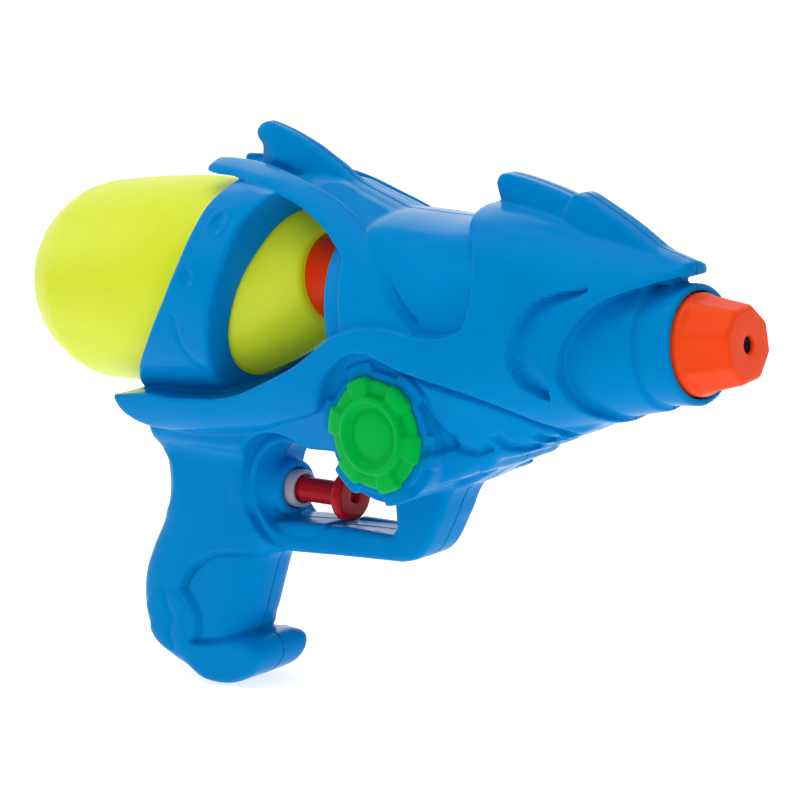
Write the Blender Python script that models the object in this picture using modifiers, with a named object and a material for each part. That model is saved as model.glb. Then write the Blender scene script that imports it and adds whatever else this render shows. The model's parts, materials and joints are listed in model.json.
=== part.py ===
"""Toy water squirter: a hand-pumped water pistol with a bottle tank in an open cage.

Frame: metres, +X towards the muzzle, +Y to the left side, +Z up.
Origin: middle of the hand grip, on the centre plane.
Lengths below are in millimetres and are turned into metres by MM.
"""
import math

import bmesh
import bpy
from mathutils import Matrix, Vector

MM = 0.001

# ---------------------------------------------------------------- driving dimensions (mm)
GAP = 0.3                 # running and seating gap between pieces
SPLIT = 0.15              # half the gap at the parting plane
WALL = 2.2                # casing wall

BARREL_Z = 50.0           # barrel axis height
NOZZLE_X = 160.0          # nozzle front face
TANK_Z = 67.0             # tank axis height
TANK_R = 27.3             # tank largest radius
TANK_REAR_X = -62.0       # tank rear tip
TANK_WALL = 1.3
CAGE_R = 31.0             # outer radius of the cage round the tank
DRUM_Z = 56.0             # axis of the body ahead of the tank
DRUM_R = 26.4
PUMP_Z = 11.5             # pump and trigger axis at the cylinder's front end
PUMP_TILT = 4.0           # degrees that the pump axis drops towards the front
PUMP_R = 5.0              # pump cylinder, outside
PUMP_BORE_R = 4.2
PUMP_FRONT_X = 20.0
PUMP_REAR_X = -11.8
TRIGGER_ROD_R = 3.2
TRIGGER_HEAD_R = 6.7
TRIGGER_HEAD_X = 34.2     # rear of the trigger's disc at rest
STROKE = 11.0             # trigger travel
DIAL_X, DIAL_Z = 68.5, 31.6
DIAL_R = 14.3
DIAL_FACE_Y = 27.8        # outer face of a dial from the centre plane
FLANGE_R = 17.4
FLANGE_Y = 24.6           # outer face of the casing's dial flange
VALVE_X = -15.0           # axes of the two valve towers
VALVE_Y = 4.2
ELBOW_Z = 29.2            # height of the hose barbs
BALL_R = 1.4
BALL_LIFT = 1.0
HOSE_R, HOSE_WALL = 2.1, 0.6
BARB_R = 1.15
TANK_TRAVEL = 115.0       # how far the tank draws out to the rear
SPOUT_R = 10.0            # socket that the tank's plug sits in, outside
PLUG_R = 7.6
MOUTH_X = 46.0            # rim of the tank's neck

SCREWS = [                # x, z, left head seat and right tip from the centre plane, half-length of the posts
    (-28.0, -20.0, 5.0, 7.0, 9.6), (-6.0, -31.0, 5.0, 7.0, 9.6), (66.2, 6.5, 3.4, 5.2, 6.4),
    (101.0, 32.0, 6.0, 9.0, 11.0), (118.0, 71.2, 5.0, 8.0, 11.0), (31.0, 98.4, 1.4, 3.0, 0.0)]
SCREW_R, SCREW_HEAD_R = 1.25, 2.5
FLAT = 2.0                # faces that meet at less than this angle (degrees) count as one flat

# ---------------------------------------------------------------- scene set-up
for old in list(bpy.data.objects):
    bpy.data.objects.remove(old, do_unlink=True)

parts = bpy.data.collections.new("water_squirter")
tools = bpy.data.collections.new("cutters")
for coll in (parts, tools):
    bpy.context.scene.collection.children.link(coll)


def material(name, rgb, rough, metal=0.0):
    mat = bpy.data.materials.new(name)
    mat.use_nodes = True
    bsdf = mat.node_tree.nodes["Principled BSDF"]
    bsdf.inputs["Base Color"].default_value = (*rgb, 1.0)
    bsdf.inputs["Roughness"].default_value = rough
    bsdf.inputs["Metallic"].default_value = metal
    return mat


# ---------------------------------------------------------------- modelling helpers
def evaluated_mesh(obj, name, weld, face_out):
    """The object's shape with its modifiers, as a clean mesh in world metres."""
    deps = bpy.context.evaluated_depsgraph_get()
    mesh = bpy.data.meshes.new_from_object(obj.evaluated_get(deps))
    mesh.transform(obj.matrix_world)
    mesh.name = name
    bm = bmesh.new()
    bm.from_mesh(mesh)
    bmesh.ops.remove_doubles(bm, verts=bm.verts, dist=weld)
    if face_out:
        bmesh.ops.recalc_face_normals(bm, faces=bm.faces)
    bm.to_mesh(mesh)
    bm.free()
    return mesh


def solid(mesh, name):
    """A working solid in the cutters' collection, drawn as wire and not rendered."""
    obj = bpy.data.objects.new(name, mesh)
    tools.objects.link(obj)
    obj.hide_render = True
    obj.display_type = 'WIRE'
    return obj


def baked(obj, name, weld=1e-6, face_out=True):
    """Turn a curve or a modified object into a plain working solid."""
    bpy.context.view_layer.update()
    mesh = evaluated_mesh(obj, name, weld, face_out)
    bpy.data.objects.remove(obj, do_unlink=True)
    return solid(mesh, name)


def smooth_line(points, steps=4, closed=False):
    """Points on a smooth curve through the given points."""
    n = len(points)
    out = []
    for i in range(n if closed else n - 1):
        pick = [points[(i + k) % n] if closed else points[min(max(i + k, 0), n - 1)] for k in (-1, 0, 1, 2)]
        for s in range(steps):
            t = s / steps
            out.append(tuple(
                0.5 * (2 * b + (c - a) * t + (2 * a - 5 * b + 4 * c - d) * t * t + (3 * b - a - 3 * c + d) * t ** 3)
                for a, b, c, d in zip(*pick)))
    if not closed:
        out.append(tuple(points[-1]))
    return out


def side_plate(name, outline, y_low, y_high, bevel=0.0):
    """A flat outline given in side view (x, z), filled and extruded across the body from y_low to y_high."""
    curve = bpy.data.curves.new(name, 'CURVE')
    curve.dimensions = '2D'
    curve.fill_mode = 'BOTH'
    curve.extrude = (y_high - y_low) / 2 * MM
    spline = curve.splines.new('POLY')
    spline.points.add(len(outline) - 1)
    for p, (x, z) in zip(spline.points, outline):
        p.co = (x * MM, z * MM, 0.0, 1.0)
    spline.use_cyclic_u = True
    obj = bpy.data.objects.new(name, curve)
    tools.objects.link(obj)
    obj.rotation_euler = (math.radians(90), 0, 0)
    obj.location = (0, (y_low + y_high) / 2 * MM, 0)
    plate = baked(obj, name)
    if bevel:
        mod = plate.modifiers.new("edges", 'BEVEL')
        mod.width = bevel * MM
        mod.segments = 2
        mod.limit_method = 'ANGLE'
        mod.angle_limit = math.radians(60)
        mod.use_clamp_overlap = True
        plate = baked(plate, name)
    return plate


def turned(name, profile, origin, axis='X', steps=40):
    """A turned solid. profile runs (radius, height) down the outer side from the top end to the bottom end,
    and, where no end lies on the axis, back up the bore as a closed loop."""
    mesh = bpy.data.meshes.new(name)
    verts = [(r * MM, 0.0, h * MM) for r, h in profile]
    edges = [(i, i + 1) for i in range(len(verts) - 1)]
    if profile[0][0] > 0 and profile[-1][0] > 0:
        edges.append((len(verts) - 1, 0))
    mesh.from_pydata(verts, edges, [])
    obj = bpy.data.objects.new(name, mesh)
    tools.objects.link(obj)
    screw = obj.modifiers.new("turn", 'SCREW')
    screw.axis = 'Z'
    screw.angle = math.radians(360)
    screw.steps = screw.render_steps = steps
    screw.use_merge_vertices = True
    screw.merge_threshold = 0.000001
    screw.use_smooth_shade = True
    turn = {'X': Matrix.Rotation(math.radians(90), 4, 'Y'),
            'Y': Matrix.Rotation(math.radians(-90), 4, 'X'),
            'Z': Matrix.Identity(4)}[axis]
    obj.matrix_world = Matrix.Translation(Vector(origin) * MM) @ turn
    return baked(obj, name)


def rod(name, r, start, end, steps=28):
    """A plain round bar between two points that lie along one axis."""
    a, b = Vector(start), Vector(end)
    along = max(range(3), key=lambda k: abs(b[k] - a[k]))
    low, high = min(a[along], b[along]), max(a[along], b[along])
    base = a.copy()
    base[along] = 0.0
    return turned(name, [(0.0, high), (r, high), (r, low), (0.0, low)], base, 'XYZ'[along], steps)


def box(name, low, high):
    bm = bmesh.new()
    bmesh.ops.create_cube(bm, size=1.0)
    size = [(h - l) * MM for l, h in zip(low, high)]
    mid = [(h + l) / 2 * MM for l, h in zip(low, high)]
    bmesh.ops.scale(bm, vec=size, verts=bm.verts)
    bmesh.ops.translate(bm, vec=mid, verts=bm.verts)
    mesh = bpy.data.meshes.new(name)
    bm.to_mesh(mesh)
    bm.free()
    return solid(mesh, name)


def loft(name, sections):
    """A closed skin through rings of equal point count, given as lists of (x, y, z)."""
    bm = bmesh.new()
    rings = [[bm.verts.new([c * MM for c in p]) for p in ring] for ring in sections]
    for a, b in zip(rings, rings[1:]):
        for i in range(len(a)):
            j = (i + 1) % len(a)
            bm.faces.new((a[i], a[j], b[j], b[i]))
    bm.faces.new(rings[0])
    bm.faces.new(rings[-1])
    bmesh.ops.recalc_face_normals(bm, faces=bm.faces)
    mesh = bpy.data.meshes.new(name)
    bm.to_mesh(mesh)
    bm.free()
    return solid(mesh, name)


def oval(x, zc, w, h_up, h_down, n_up=2.0, n_down=2.0, count=36):
    """A ring across the body at x: half-width w, with its own height and squareness above and below zc."""
    ring = []
    for i in range(count):
        a = 2 * math.pi * i / count
        c, s = math.cos(a), math.sin(a)
        h, n = (h_up, n_up) if s >= 0 else (h_down, n_down)
        ring.append((x, math.copysign(abs(c) ** (2 / n), c) * w, zc + math.copysign(abs(s) ** (2 / n), s) * h))
    return ring


def loose_edges(mesh):
    """How many edges don't have exactly two faces."""
    bm = bmesh.new()
    bm.from_mesh(mesh)
    count = sum(1 for e in bm.edges if len(e.link_faces) != 2)
    bm.free()
    return count


def combine(obj, others, operation):
    """Join, cut or intersect a working solid with others, one after another."""
    for other in others:
        before = obj.data.copy()
        mod = obj.modifiers.new("op", 'BOOLEAN')
        mod.operation = operation
        mod.solver = 'EXACT'
        mod.object = other
        name = obj.name
        obj = baked(obj, name, 1e-8, False)
        if loose_edges(obj.data):
            obj.data = before
            mod = obj.modifiers.new("op", 'BOOLEAN')
            mod.operation = operation
            mod.solver = 'MANIFOLD'
            mod.object = other
            obj = baked(obj, name, 1e-8, False)
        bpy.data.objects.remove(other, do_unlink=True)
    return obj


def join(obj, *others):
    return combine(obj, others, 'UNION')


def cut(obj, *others):
    return combine(obj, others, 'DIFFERENCE')


def meet(obj, *others):
    return combine(obj, others, 'INTERSECT')


def on_pump_axis(obj):
    """Turn a solid made level into the line of the pump, which drops towards the front."""
    at = Vector((PUMP_FRONT_X, 0.0, PUMP_Z)) * MM
    obj.data.transform(Matrix.Translation(at) @ Matrix.Rotation(math.radians(PUMP_TILT), 4, 'Y') @ Matrix.Translation(-at))
    return obj


def twin(obj, name):
    return solid(obj.data.copy(), name)


def mirrored(obj, name):
    """A copy on the other side of the centre plane."""
    mesh = obj.data.copy()
    bm = bmesh.new()
    bm.from_mesh(mesh)
    bmesh.ops.scale(bm, vec=(1, -1, 1), verts=bm.verts)
    bmesh.ops.reverse_faces(bm, faces=bm.faces)
    bm.to_mesh(mesh)
    bm.free()
    return solid(mesh, name)


def tube(name, points, r, wall):
    """A hollow hose along a route: a bevelled curve for the outside, thickened inwards."""
    curve = bpy.data.curves.new(name, 'CURVE')
    curve.dimensions = '3D'
    curve.bevel_depth = r * MM
    curve.bevel_resolution = 2
    curve.use_fill_caps = False
    spline = curve.splines.new('POLY')
    spline.points.add(len(points) - 1)
    for p, co in zip(spline.points, points):
        p.co = (*[c * MM for c in co], 1.0)
    obj = bpy.data.objects.new(name, curve)
    tools.objects.link(obj)
    open_tube = baked(obj, name)
    thick = open_tube.modifiers.new("wall", 'SOLIDIFY')
    thick.thickness = wall * MM
    thick.offset = -1.0
    return baked(open_tube, name)


def coil(name, x0, x1, z, r, wire, turns, per_turn=14):
    """A compression spring along X, with its end turns closed up."""
    pts = []
    n = int(turns * per_turn)
    for i in range(n + 1):
        t = i / n
        lead = min(t * turns, 1.0) * 0.5 + min((1 - t) * turns, 1.0) * 0.5
        run = t - 0.35 / turns * math.sin(2 * math.pi * t) * lead
        a = 2 * math.pi * turns * t
        pts.append((x0 + (x1 - x0) * run, r * math.cos(a), z + r * math.sin(a)))
    curve = bpy.data.curves.new(name, 'CURVE')
    curve.dimensions = '3D'
    curve.bevel_depth = wire * MM
    curve.bevel_resolution = 0
    curve.use_fill_caps = True
    spline = curve.splines.new('POLY')
    spline.points.add(len(pts) - 1)
    for p, co in zip(spline.points, pts):
        p.co = (*[c * MM for c in co], 1.0)
    obj = bpy.data.objects.new(name, curve)
    tools.objects.link(obj)
    return baked(obj, name)


def tidy(mesh):
    """Make one face of each flat and take out slivers, as far as the skin stays closed."""
    for flat, merge in ((FLAT, 2e-5), (FLAT, 5e-6), (FLAT / 4, 1e-5), (FLAT / 4, 2e-6), (0.0, 2e-5), (0.0, 2e-6)):
        bm = bmesh.new()
        bm.from_mesh(mesh)
        bmesh.ops.remove_doubles(bm, verts=bm.verts, dist=1e-7)
        if flat:
            bmesh.ops.dissolve_limit(bm, angle_limit=math.radians(flat), verts=bm.verts, edges=bm.edges)
        bmesh.ops.triangulate(bm, faces=bm.faces)
        bmesh.ops.remove_doubles(bm, verts=bm.verts, dist=merge)
        bmesh.ops.dissolve_degenerate(bm, edges=bm.edges, dist=1e-6)
        closed = all(len(e.link_faces) == 2 for e in bm.edges)
        if closed:
            bm.to_mesh(mesh)
        bm.free()
        if closed:
            return


def finish(obj, name, mat, pivot=None, parent=None):
    """Move a working solid into the object's collection, with its origin on its pivot (mm)."""
    tools.objects.unlink(obj)
    parts.objects.link(obj)
    obj.name = name
    obj.data.name = name
    obj.hide_render = False
    obj.display_type = 'TEXTURED'
    obj.data.materials.clear()
    obj.data.materials.append(mat)
    obj.data.shade_smooth()
    obj.data.set_sharp_from_angle(angle=math.radians(35))
    if pivot is not None:
        at = Vector(pivot) * MM
        obj.data.transform(Matrix.Translation(-at))
        obj.location = at
    if parent is not None:
        obj.parent = parent
    return obj


# ---------------------------------------------------------------- materials
BLUE = material("casing_blue", (0.0, 0.22, 0.61), 0.32)
YELLOW = material("tank_yellow", (0.55, 0.66, 0.02), 0.38)
RED_CAP = material("cap_red", (0.68, 0.035, 0.005), 0.35)
GREEN = material("dial_green", (0.0, 0.46, 0.06), 0.35)
ORANGE = material("nozzle_orange", (0.9, 0.12, 0.02), 0.35)
DARK_RED = material("trigger_red", (0.33, 0.012, 0.02), 0.3)
GREY = material("pump_grey", (0.5, 0.5, 0.55), 0.4)
NATURAL = material("valve_natural", (0.72, 0.72, 0.70), 0.45)
HOSE = material("hose_clear", (0.62, 0.66, 0.68), 0.3)
RUBBER = material("seal_black", (0.02, 0.02, 0.02), 0.6)
STEEL = material("steel", (0.6, 0.6, 0.62), 0.3, 1.0)

# ---------------------------------------------------------------- tank profile
REAR_DOME_X = TANK_REAR_X + 27.0
TANK_SHAPE = [(27.0 * math.cos(math.radians(a)), REAR_DOME_X - 27.0 * math.sin(math.radians(a)))
              for a in (80, 68, 56, 44, 32, 20, 8)]
TANK_SHAPE += [(TANK_R, -22.0), (27.2, -10.0), (26.6, 0.0), (25.0, 9.0), (22.4, 18.0), (19.2, 26.0),
               (15.6, 33.0), (13.0, 37.0)]
NECK_R = 8.6


def tank_radius(x, grow=0.0):
    """Tank radius at x, or the largest radius further forward grown by a clearance."""
    for (r0, x0), (r1, x1) in zip(TANK_SHAPE, TANK_SHAPE[1:]):
        if x0 <= x <= x1:
            return r0 + (r1 - r0) * (x - x0) / (x1 - x0) + grow
    return grow


# ---------------------------------------------------------------- casing: side-view outlines (x, z)
SHELL_TOP = smooth_line([(-23.3, 39.4), (-10.7, 40.2), (-1.6, 39.4), (9.2, 39.3), (18.2, 39.7), (27.1, 41.6), (45.0, 47.9),
                         (55.6, 53.6), (61.0, 56.3), (70.7, 58.1), (78.4, 57.2), (85.0, 55.6), (93.0, 55.4), (99.0, 57.3),
                         (102.0, 62.0), (101.9, 67.4), (98.0, 75.0), (93.0, 80.1), (87.0, 90.0)], 2)
SHELL_FRONT = smooth_line([(147.0, 90.0), (147.6, 68.0), (145.5, 66.0), (141.0, 65.0), (131.6, 62.1), (125.8, 57.2),
                           (122.3, 51.7), (121.0, 44.6), (122.6, 37.5), (127.0, 33.2), (127.5, 30.0)], 2)
SHELL_BOTTOM = smooth_line([(120.1, 33.0), (111.7, 35.3), (103.2, 38.0), (93.1, 41.3), (82.8, 44.8), (74.0, 47.6),
                            (69.2, 49.6), (63.2, 51.4), (57.0, 49.6), (52.6, 45.1), (49.4, 37.2), (41.3, 34.5), (27.2, 31.1),
                            (14.8, 29.8), (5.9, 30.0), (-6.6, 31.8), (-19.3, 34.4), (-23.4, 38.0)], 2)
BAND = smooth_line([(22.6, 94.6), (21.7, 93.6), (17.7, 89.3), (15.1, 82.0), (11.7, 74.1), (5.7, 64.9), (-3.8, 54.8),
                    (-12.3, 47.6), (-19.5, 41.0), (-19.5, 36.0)], 2) + \
    smooth_line([(6.0, 36.0), (10.5, 40.0), (13.6, 46.4), (19.5, 57.6), (24.5, 67.8), (28.9, 76.3), (32.9, 84.8), (37.4, 88.9)], 2)
ARCH = smooth_line([(88.6, 54.0), (86.9, 56.4), (82.4, 61.0), (74.3, 71.3), (64.4, 80.1), (56.7, 85.4), (48.9, 89.4), (39.4, 93.3),
                    (28.8, 95.9), (14.0, 98.6), (3.0, 98.2)], 2) + \
    smooth_line([(5.0, 96.9), (15.1, 95.0), (22.2, 93.4), (36.2, 89.1), (43.1, 86.4), (50.5, 82.2), (56.5, 77.9), (60.1, 74.4),
                 (60.9, 69.4), (60.6, 60.1), (59.3, 54.0)], 2)
REAR_FIN = [(13.2, 95.0), (13.2, 104.6), (15.1, 106.6), (18.3, 107.1), (28.0, 104.0), (33.0, 101.8), (40.0, 97.6), (46.0, 94.0),
            (52.0, 90.6), (59.0, 86.6), (67.0, 83.0), (67.0, 78.0), (40.0, 88.0)]
FRONT_FIN = [(97.0, 78.0), (94.6, 86.0), (93.4, 88.6), (94.4, 90.4), (96.6, 91.1), (102.5, 89.8), (111.0, 86.9), (116.4, 84.7),
             (119.5, 84.9), (126.2, 81.6), (132.8, 77.0), (139.3, 72.2), (145.9, 69.8), (148.2, 68.2), (147.4, 66.8), (144.0, 64.0),
             (120.0, 66.0)]
GRIP = [(-27.0, 31.5), (-24.9, 25.0), (-22.8, 21.0), (-22.5, 14.0), (-24.3, 7.0), (-27.0, 2.4), (-30.9, -3.0), (-35.1, -10.2),
        (-37.0, -17.4), (-36.8, -25.6), (-33.5, -32.4), (-26.4, -37.0), (-17.3, -40.0), (-9.9, -41.0), (-4.0, -40.4),
        (2.0, -38.0), (5.4, -34.8), (6.4, -32.0), (5.8, -29.8), (3.6, -28.2), (0.9, -27.6), (1.0, -25.6), (2.6, -22.6),
        (6.2, -14.8), (9.2, -8.6), (12.0, -5.4)]
GUARD_BOTTOM_Z = -4.4
GUARD = [(56.5, GUARD_BOTTOM_Z), (61.4, -3.4), (65.0, -1.0), (68.0, 3.0), (71.0, 7.6), (73.4, 11.8), (76.0, 14.6),
         (80.0, 15.8), (84.0, 17.8), (88.0, 20.4), (93.0, 23.6), (101.0, 25.6), (110.0, 27.4), (115.0, 29.2), (122.0, 32.6),
         (118.0, 40.0), (60.0, 52.0), (40.0, 36.0), (0.0, 34.0)]
OPENING = [(30.2, 5.0), (31.8, 3.2), (54.4, 2.6), (56.2, 4.2), (56.6, 18.0), (55.4, 21.6), (52.0, 23.4), (33.0, 23.4), (30.8, 22.0)]

# ---------------------------------------------------------------- casing: outer form
BODY_SECTIONS = [          # x, zc, half-width, height above, height below
    (-26.0, 58.0, 24.5, 24.0, 30.5), (0.0, 58.0, 26.0, 26.0, 30.5), (30.0, 58.0, 27.0, 26.0, 30.0), (55.0, 57.0, 27.4, 27.0, 29.0),
    (80.0, 56.0, 27.4, 28.4, 28.0), (100.0, 56.0, 26.6, 28.0, 27.0), (112.0, 55.3, 24.8, 25.6, 25.0), (122.0, 54.0, 22.4, 22.6, 22.4),
    (132.0, 52.4, 20.2, 19.6, 20.0), (140.0, 51.2, 18.6, 17.6, 18.2), (149.0, 50.6, 17.2, 15.8, 16.8)]
upper = loft("upper", [oval(x, zc, w, up, dn, 2.0, 2.8 if x < 90 else 2.3) for x, zc, w, up, dn in BODY_SECTIONS])
upper = meet(upper, side_plate("shell", SHELL_TOP + SHELL_FRONT + SHELL_BOTTOM, -40, 40))

band = turned("band", [(0.0, 60.0), (CAGE_R, 60.0), (CAGE_R, -26.0), (0.0, -26.0)], (0, 0, TANK_Z), 'X', 40)
band = meet(band, side_plate("band_area", BAND, -40, 40))
arch = loft("arch", [oval(x, zc, w, up, dn, count=36) for x, zc, w, up, dn in (
    (-2.0, 67.0, 31.5, 31.5, 31.5), (10.0, 67.0, 31.5, 31.5, 31.5), (30.0, 66.5, 31.4, 30.4, 31.4), (42.0, 65.5, 30.8, 28.3, 30.8),
    (55.0, 62.0, 29.9, 26.6, 29.9), (67.0, 58.6, 29.0, 25.8, 29.0), (80.0, 56.6, 28.7, 26.5, 28.7), (94.0, 56.0, 28.5, 27.0, 28.5))])
arch = meet(arch, side_plate("arch_area", ARCH, -40, 40))

drum = turned("drum", [(0.0, 106.0), (DRUM_R, 106.0), (DRUM_R, 60.5), (DRUM_R - 1.0, 57.0), (DRUM_R - 3.2, 55.0), (0.0, 55.0)],
              (0, 0, DRUM_Z), 'X', 36)
barrel = turned("barrel", [(0.0, 146.2), (12.9, 146.2), (13.3, 145.6), (13.4, 139.4), (15.3, 139.2), (17.6, 120.0), (18.0, 104.0),
                           (0.0, 104.0)], (0, 0, BARREL_Z), 'X', 32)
roof = loft("roof", [[(x, -top, zt), (x, top, zt), (x, ya, za), (x, ya - 1, za - 6), (x, 1 - ya, za - 6), (x, -ya, za)]
                     for x, top, zt, ya, za in ((14.0, 2.4, 103.6, 6.2, 97.2), (18.0, 2.6, 106.0, 7.0, 96.9), (28.0, 2.8, 103.0, 7.6, 95.6),
                                                (40.0, 2.8, 96.8, 8.6, 92.4), (50.0, 2.8, 91.2, 9.8, 88.0), (58.0, 2.8, 86.6, 10.6, 83.0),
                                                (68.0, 2.8, 82.0, 9.0, 77.0))])
rear_fin = side_plate("rear_fin", REAR_FIN, -3.2, 3.2, 1.0)
front_fin = side_plate("front_fin", FRONT_FIN, -4.0, 4.0, 1.2)
grip = side_plate("grip", GRIP + [(14.0, 33.0), (-24.0, 36.0)], -10.8, 10.8, 3.2)
guard = side_plate("guard", [(10.0, GUARD_BOTTOM_Z)] + GUARD, -7.6, 7.6, 1.4)
lower = side_plate("lower", smooth_line([(-22.0, 36.0), (-20.0, 31.5), (4.0, 28.0), (16.0, 25.0), (30.0, 24.4), (46.0, 24.4), (58.0, 24.4),
                                         (74.0, 22.0), (88.0, 24.0), (104.0, 28.4), (118.0, 31.4), (124.0, 37.0)], 2)
                   + [(110.0, 46.0), (60.0, 53.0), (40.0, 40.0)], -16.6, 16.6, 3.0)
outer = join(upper, drum, barrel, band, arch, roof, rear_fin, front_fin, grip, guard, lower)

# ---------------------------------------------------------------- casing: cavities and openings
tank_space = turned("tank_space", [(0.0, 55.2), (12.4, 55.2), (12.4, 38.6)]
                    + [(r + 0.7, x) for r, x in reversed(TANK_SHAPE) if x > -20.0]
                    + [(TANK_R + 0.7, -22.0), (TANK_R + 0.7, -70.0), (0.0, -70.0)], (0, 0, TANK_Z), 'X', 36)
finger = side_plate("finger", OPENING, -40, 40)
scoop_l = rod("scoop_l", 13.0, (24.0, 6.6, PUMP_Z + 1.1), (24.0, 40.0, PUMP_Z + 1.1), 28)
scoop_r = rod("scoop_r", 13.0, (24.0, -40.0, PUMP_Z + 1.1), (24.0, -6.6, PUMP_Z + 1.1), 28)
scoop_front = box("scoop_front", (14.6, -40.0, 3.45), (34.0, 40.0, 23.2))
dial_pockets = [rod("dial_pocket", FLANGE_R + 0.4, (DIAL_X, side * FLANGE_Y, DIAL_Z), (DIAL_X, side * 40.0, DIAL_Z), 32) for side in (-1, 1)]
outer = cut(outer, tank_space, finger, scoop_l, scoop_r, scoop_front, *dial_pockets)
boss = on_pump_axis(rod("boss", 7.6, (0.0, 0.0, PUMP_Z), (17.6, 0.0, PUMP_Z), 24))
bar = side_plate("bar", [(9.6, -4.1), (9.6, 2.9), (32.4, 3.0), (32.4, -4.1)], -7.4, 7.4, 1.2)
flanges = [rod("flange", FLANGE_R, (DIAL_X, side * 7.4, DIAL_Z), (DIAL_X, side * FLANGE_Y, DIAL_Z), 32) for side in (-1, 1)]
outer = join(outer, boss, bar, *flanges)

drum_hollow = loft("drum_hollow", [oval(x, zc, w, up, dn, count=24) for x, zc, w, up, dn in (
    (58.4, 56.0, 23.2, 23.2, 12.0), (64.0, 56.0, 24.0, 24.0, 16.0), (98.0, 56.0, 24.0, 24.0, 22.0), (104.0, 55.6, 23.0, 23.4, 22.4),
    (114.0, 54.2, 20.6, 21.2, 21.4), (124.0, 51.8, 16.4, 16.8, 16.6), (133.6, 50.0, 13.2, 13.2, 13.2))])
grip_hollow = side_plate("grip_hollow", [(-20.2, 20.0), (-20.0, 14.4), (-21.9, 7.6), (-24.6, 3.4), (-28.5, -1.8), (-32.6, -9.4), (-34.6, -17.6),
                                         (-34.4, -25.0), (-31.6, -30.6), (-25.4, -34.6), (-16.8, -37.4), (-9.9, -38.4), (-4.6, -37.8),
                                         (0.4, -36.0), (2.6, -33.6), (2.0, -31.4), (-1.8, -28.6), (-1.4, -25.0), (0.4, -21.8),
                                         (3.8, -14.4), (6.2, -8.4), (6.2, 11.5), (8.4, 25.0), (8.4, 36.1), (-16.0, 36.1), (-20.4, 30.0)], -8.5, 8.5)
corridor = side_plate("corridor", [(0.0, 26.9), (57.6, 26.9), (59.4, 21.0), (74.0, 20.0), (82.0, 20.6), (92.0, 25.6), (108.0, 29.8), (114.0, 31.2),
                                   (114.0, 40.0), (60.0, 48.0), (54.0, 36.0), (28.0, 36.2), (0.0, 36.0)], -9.2, 9.2)
leg_hollow = side_plate("leg_hollow", [(59.4, 22.0), (59.4, 4.0), (61.6, 2.2), (64.0, 3.0), (66.6, 6.4), (70.4, 13.0), (73.0, 17.4), (74.0, 22.0)], -5.4, 5.4)
pump_hole = on_pump_axis(rod("pump_hole", PUMP_R + GAP + 0.05, (-2.0, 0.0, PUMP_Z), (40.0, 0.0, PUMP_Z), 24))
muzzle = turned("muzzle", [(0.0, 150.0), (12.3, 150.0), (12.3, 140.6), (5.3, 140.6), (5.3, 130.0), (0.0, 130.0)], (0, 0, BARREL_Z), 'X', 28)
dial_hole = rod("dial_hole", 4.0, (DIAL_X, -40.0, DIAL_Z), (DIAL_X, 40.0, DIAL_Z), 18)
spout_hole = rod("spout_hole", SPOUT_R + 0.4, (50.0, 0.0, TANK_Z), (60.0, 0.0, TANK_Z), 24)
hose_gate = box("hose_gate", (59.0, -8.8, 30.0), (104.0, 8.8, 50.0))
outer = cut(outer, drum_hollow, grip_hollow, corridor, leg_hollow, pump_hole, muzzle, dial_hole, spout_hole, hose_gate)

right = meet(twin(outer, "half_right"), box("right_side", (-80, -50, -60), (180, -SPLIT, 130)))
bpy.data.objects.remove(outer, do_unlink=True)
tidy(right.data)
left = mirrored(right, "half_left")

# ---------------------------------------------------------------- screw bosses and screws
screw_objects = []
for i, (sx, sz, seat, tip, post) in enumerate(SCREWS):
    if post:
        right = join(right, rod("post_r", 3.4, (sx, -post, sz), (sx, -SPLIT, sz), 14))
        left = join(left, rod("post_l", 3.4, (sx, SPLIT, sz), (sx, post, sz), 14))
    right = cut(right, rod("pilot", SCREW_R + GAP, (sx, -tip - 0.6, sz), (sx, 1.0, sz), 12))
    left = cut(left, rod("clear", SCREW_R + GAP, (sx, -1.0, sz), (sx, seat + 1.0, sz), 12),
               rod("head_seat", SCREW_HEAD_R + 0.4, (sx, seat, sz), (sx, 40.0, sz), 14))
    screw = turned("screw", [(0.0, seat + 2.1), (1.7, seat + 2.1), (SCREW_HEAD_R, seat + 1.4), (SCREW_HEAD_R, seat + GAP),
                             (SCREW_R, seat + GAP), (SCREW_R, 0.9 - tip), (0.0, -tip)], (sx, 0, sz), 'Y', 12)
    for turn in (0, 90):
        slot = box("slot", (-1.3, seat + 1.2, -0.3), (1.3, seat + 4.0, 0.3))
        slot.data.transform(Matrix.Translation(Vector((sx, 0, sz)) * MM) @ Matrix.Rotation(math.radians(turn), 4, 'Y'))
        screw = cut(screw, slot)
    screw_objects.append(finish(screw, "casing_screw_%d" % (i + 1), STEEL, (sx, 0, sz)))

for half in (right, left):
    tidy(half.data)
casing_right = finish(right, "casing_right", BLUE)
casing_left = finish(left, "casing_left", BLUE)

# ---------------------------------------------------------------- water tank and its cap
SHOULDER_X = 37.3
inner = [(max(r - TANK_WALL, 0.5), x + (0.9 if x < -40 else 0.0)) for r, x in TANK_SHAPE[1:-1:2]]
tank = turned("tank", [(0.0, TANK_REAR_X + TANK_WALL)] + inner + [(NECK_R - 1.6, 36.4), (NECK_R - 1.6, MOUTH_X), (NECK_R, MOUTH_X),
                                                                (NECK_R, SHOULDER_X), (12.5, SHOULDER_X)]
              + TANK_SHAPE[::-1] + [(0.0, TANK_REAR_X)], (0, 0, TANK_Z), 'X', 32)
finish(tank, "tank", YELLOW, (0, 0, TANK_Z))
tank_seal = turned("tank_seal", [(NECK_R - 0.1, MOUTH_X + 1.3), (NECK_R - 0.1, MOUTH_X + GAP), (NECK_R - 1.6, MOUTH_X + GAP),
                                 (NECK_R - 1.6, MOUTH_X + 1.3)], (0, 0, TANK_Z), 'X', 24)
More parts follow.
